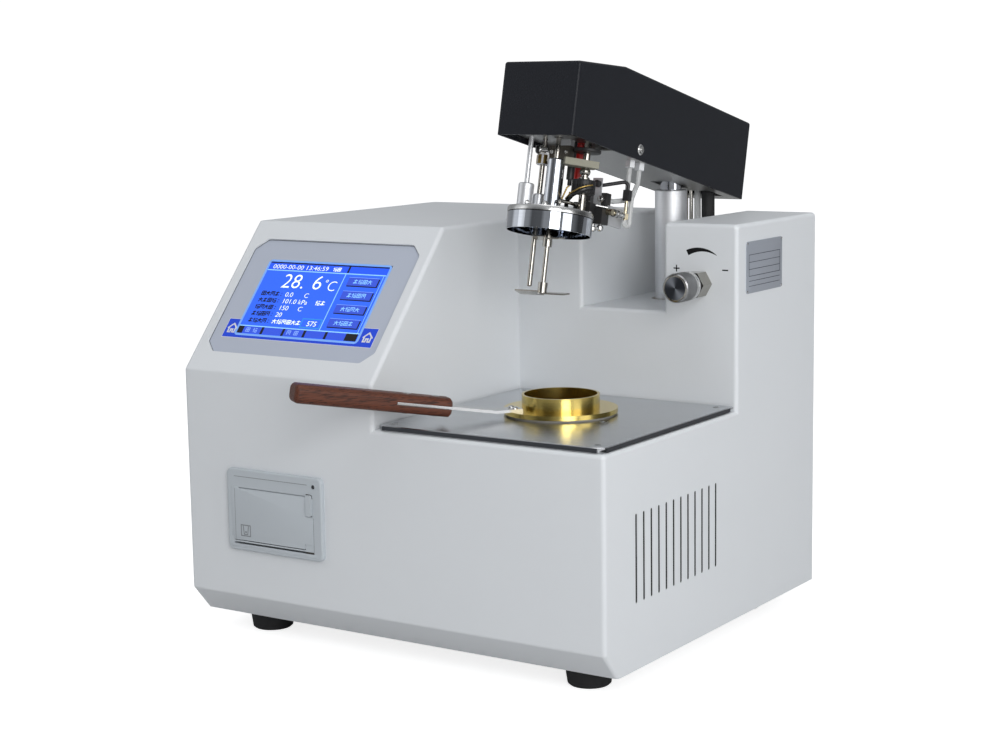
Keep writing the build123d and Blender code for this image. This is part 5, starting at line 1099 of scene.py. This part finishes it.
placed(
    "head_fasteners", head, "arm", "chrome", [bright_steel, dark_steel_and_groove_shade],
    *[upright(small_dome, x, y) for x, y in ((12.8, 6.0), (19.8, 17.2), (8.6, -22.0))],
    upright(long_head, 15.2, 31.0, z=-50.45), upright(round_head, 19.4, 33.8, z=-49.55),
    lying(screw_head(1.7, 1.0, "slot"), -15.85, -6.45, -41.6, (0.77, -0.64, 0)),
    lying(turned(probe_screw), *probe_screw_place),
    (lying(turned([(2.95, 1.2), (3.05, 1.5), (3.05, 3.2), (2.95, 3.5)], hollow=True), *probe_screw_place), 1),
)
probe_hex = moved(extruded(hexagon(4.15, 0.3), -13.4, -7.2, 0.3), Matrix.Translation((-14.0, 5.0, 0)))
placed("probe_hex", head, "arm", "brass", [strip_brass], probe_hex)
placed(
    "gear_block_case", head, "arm", "alu", [bronze_block, bright_steel],
    extruded(rectangle(-10.4, 5.7, 6.1, 11.4), -9.4, -0.15, 0.2),
    *[(lying(screw_head(1.4, 1.1, "hex"), x, 5.8, -4.8, (0, -1, 0)), 1) for x in (-7.6, 3.3)],
)
rod_end = (17.0, 34.9, -31.6, (0, 1, 0))
placed(
    "link_rod", head, "arm", "chrome", [bright_steel, moulded_black],
    tube([(12.6, 28.0, -35.8), (17.5, 32.4, -37.0), (22.4, 36.6, -37.4)], 0.85),
    lying(turned(rectangle(0.8, -0.7, 1.7, 0.7), hollow=True), 11.6, 27.2, -35.5, (0.5, -0.8, 0.3)),
    lying(extruded(hexagon(2.4), 0.0, 2.0, 0.3), *rod_end),
    lying(turned([(0, -1.6), (1.3, -1.2), (1.6, 0.0), (0, 0.0)]), *rod_end),
    (lying(turned([(0, 0), (1.6, 0), (2.4, 0.5), (2.4, 3.3), (0, 3.3)]), 14.1, 31.6, -21.3, (0, 1, 0)), 1),
)

# --- Gas pipe and hoses ---
# A blackened pipe bends down through its clamp to a brass tee. Clear hoses hang from two
# blasted aluminium nuts under the arm, and one loops round to the tee.
blackened = finish(
    "blackened", (0.03, 0.03, 0.032), (0.05, 0.05, 0.052), 0.25, turned_marks, 0.7, Relief=0.05, Centre=cover_axis,
)
dress(blackened, "gas_pipe")
pale_brass = finish(
    "pale_brass", (0.66, 0.59, 0.44), (0.50, 0.44, 0.31), 0.16, brushed, 1.0, Relief=0.05,
    Spread=(300.0, 300.0, 300.0),
)
dress(pale_brass, "gas_tee")
dress(blasted_alu, "hose_nuts")
dress(milky_tube, "clear_hoses")
beads = [
    lying(
        turned([(1.33, 0), (radius, 0.2), (radius, length - 0.2), (1.33, length)], hollow=True),
        26.0, y, -40.5, (0, 1, 0),
    )
    for y, length, radius in ((38.4, 2.2, 2.7), (41.0, 1.6, 2.0), (43.2, 2.4, 2.7), (46.0, 1.6, 2.0), (48.2, 2.2, 2.5))
]
placed("branch_beads", head, "arm", "nickel", [bright_steel], *beads)

# --- Cup ---
# Turned from brass: fine tool marks run round the collar and flange, and the bore is bright.
# It hangs by its flange in the ring of the air bath and lifts straight out.
cup_low, cup_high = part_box("cup")
cup_axis = (cup_low + cup_high) / 2
cup_axis.z = 0.0
turned_brass = finish(
    "turned_brass", (0.76, 0.60, 0.20), (0.62, 0.47, 0.13), 0.14, turned_marks, 1.0, Drift=0.12, Relief=0.22,
    Depth=0.04, Centre=cup_axis, Pitch=1100.0,
)
dress(turned_brass, "cup")

# --- Cup handle ---
# A steel strip screwed to the flange runs into a slot of the wooden grip, where two rivets
# hold it. The grip is oiled reddish hardwood with short dark pores.
handle_turn, handle_rise = radians(236.0), radians(9.5)
handle_out = Vector((cos(handle_turn), sin(handle_turn), 0.0))
handle_side = Vector((sin(handle_turn), -cos(handle_turn), 0.0))
hardwood, given, place = new_effect("hardwood", Turn=(0.0, 0.0, 0.0))
grown = turned_place(hardwood, place, given["Turn"])
fibre_spread, pore_spread = (22.0, 700.0, 700.0), (130.0, 2400.0, 2400.0)
figure = noise(hardwood, vector_maths(hardwood, "MULTIPLY", grown, fibre_spread), 1.0, 5.0)
specks = noise(hardwood, vector_maths(hardwood, "MULTIPLY", grown, pore_spread), 1.0, 1.0)
pores = node(hardwood, "ShaderNodeMapRange", {"Value": specks, "From Min": 0.52, "From Max": 0.62})
grain = maths(hardwood, "MULTIPLY_ADD", pores.outputs[0], 0.55, maths(hardwood, "MULTIPLY", figure, 0.75))
close_effect(hardwood, given, grain, maths(hardwood, "SUBTRACT", 1.0, pores.outputs[0]))
oiled_wood = finish(
    "oiled_wood", (0.170, 0.050, 0.024), (0.024, 0.009, 0.006), 0.36, hardwood, sockets={"Specular IOR Level": 0.3},
    Drift=0.15, Relief=0.4, Depth=0.12, Turn=(0.0, 0.0, -handle_turn),
)
strip_steel = finish(
    "strip_steel", (0.60, 0.60, 0.60), (0.48, 0.48, 0.48), 0.15, brushed, 1.0, Drift=0.15, Relief=0.06,
    Turn=(0.0, 0.0, -handle_turn), Spread=(25.0, 900.0, 900.0),
)
dress(oiled_wood, "cup_grip")
dress(strip_steel, "cup_strip")
strip_low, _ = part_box("cup_strip")


def on_strip(reach, rise):
    """A point above the strip's underside, at a reach from the cup's axis."""
    return Vector((cup_axis.x, cup_axis.y, strip_low.z + rise * mm)) + handle_out * reach * mm


grip_reach, grip_rise, grip_half_thick = 83.0, 6.52, 6.4
grip_along = handle_out * cos(handle_rise) + Vector((0, 0, sin(handle_rise)))
grip_seat = seat(on_strip(grip_reach, grip_rise), grip_along, -handle_side)
rivet_places = [
    (grip_seat @ Vector((along, 0, face * grip_half_thick)), (grip_seat.to_3x3() @ Vector((0, 0, face))).normalized())
    for along in (10.5, 31.0)
    for face in (1, -1)
]
grip_rivet = turned([(0, 0), (2.7, 0), (2.7, 0.25), (2.2, 0.6), (0, 0.7)])
fixed_at("grip_rivets", rivet_places, grip_rivet, "cup", "steel", bright_steel)
screw_reach, strip_thick, half_pitch = 36.0, 2.0, 3.2
flange_places = [
    (on_strip(screw_reach, strip_thick) + handle_side * side * half_pitch * mm, (0, 0, 1)) for side in (1, -1)
]
fixed_at("strip_screws", flange_places, screw_head(2.2, 1.3, "slot"), "cup", "steel", bright_steel)

# --- Studio ---
# A pale floor, a large soft light from the front right, a second one at the right side, a
# weak one from the left and one above. The bright surround has darker stretches for the metal.
floor_mesh = bpy.data.meshes.new("floor")
floor_mesh.from_pydata([(x, y, 0) for x, y in rectangle(-6, -6, 6, 6)], [], [(0, 1, 2, 3)])
pale_floor = finish("pale_floor", (0.62, 0.62, 0.62), (0.60, 0.60, 0.60), 0.7, Relief=0.02, Cloud=1.0)
tree = pale_floor.node_tree
shader = tree.nodes["Principled BSDF"]
shader.inputs["Emission Color"].default_value = (1.0, 1.0, 1.0, 1.0)
seen = tree.nodes.new("ShaderNodeLightPath").outputs["Is Camera Ray"]
tree.links.new(maths(tree, "MULTIPLY", seen, 0.80), shader.inputs["Emission Strength"])
floor_mesh.materials.append(pale_floor)
floor = shown("floor", floor_mesh)

for name, place, aim, size, power in (
    ("key", (1.5, -1.35, 0.85), (0.05, 0, 0.2), (0.9, 1.2), 19.0),
    ("fill", (-1.5, -1.3, 0.9), (0, 0, 0.2), (0.8, 1.2), 1.6),
    ("side", (1.6, -0.3, 0.55), (-0.05, 0.0, 0.27), (0.7, 0.9), 3.8),
    ("top", (0.3, -0.2, 2.0), (0, 0, 0.1), (1.6, 1.6), 8.0),
):
    softbox = bpy.data.lights.new(name, "AREA")
    softbox.shape, softbox.energy = "RECTANGLE", power
    softbox.size, softbox.size_y = size
    aimed = (Vector(aim) - Vector(place)).to_track_quat("-Z", "Y").to_matrix().to_4x4()
    shown(name, softbox).matrix_world = Matrix.Translation(place) @ aimed

surround = bpy.data.worlds.new("surround")
surround.use_nodes = True
tree = surround.node_tree
direction = tree.nodes.new("ShaderNodeTexCoord").outputs["Generated"]
parts = split(tree, direction)
turn_share = maths(tree, "MULTIPLY_ADD", maths(tree, "ARCTAN2", parts[1], parts[0]), 1 / (2 * pi), 0.5)
bands = node(tree, "ShaderNodeValToRGB", {0: turn_share})
stops = [
    (0.0, 0.35), (0.03, 1.0), (0.105, 1.0), (0.13, 0.45), (0.175, 0.36), (0.20, 0.05), (0.275, 0.07), (0.30, 0.4),
    (0.42, 0.36), (0.45, 0.25), (0.53, 0.22), (0.57, 0.06), (0.64, 0.08), (0.70, 0.38), (0.85, 0.42), (1.0, 0.35),
]
ramp = bands.color_ramp
while len(ramp.elements) < len(stops):
    ramp.elements.new(0.5)
for element, (at, value) in zip(ramp.elements, stops):
    element.position = at
    element.color = (value * 0.84, value * 0.86, value * 0.88, 1.0)
overhead = node(tree, "ShaderNodeMapRange", {"Value": parts[2], "From Min": 0.25, "From Max": 0.75})
ceiling, white_wall = (0.43, 0.44, 0.455, 1.0), (1.05, 1.05, 1.05, 1.0)
sky = node(tree, "ShaderNodeMix", {0: overhead.outputs[0], 6: bands.outputs[0], 7: ceiling}, data_type="RGBA")
seen = tree.nodes.new("ShaderNodeLightPath").outputs["Is Camera Ray"]
backdrop = node(tree, "ShaderNodeMix", {0: seen, 6: sky.outputs[2], 7: white_wall}, data_type="RGBA")
tree.links.new(backdrop.outputs[2], tree.nodes["Background"].inputs["Color"])
bpy.context.scene.world = surround
bpy.context.scene.view_settings.view_transform = "Standard"
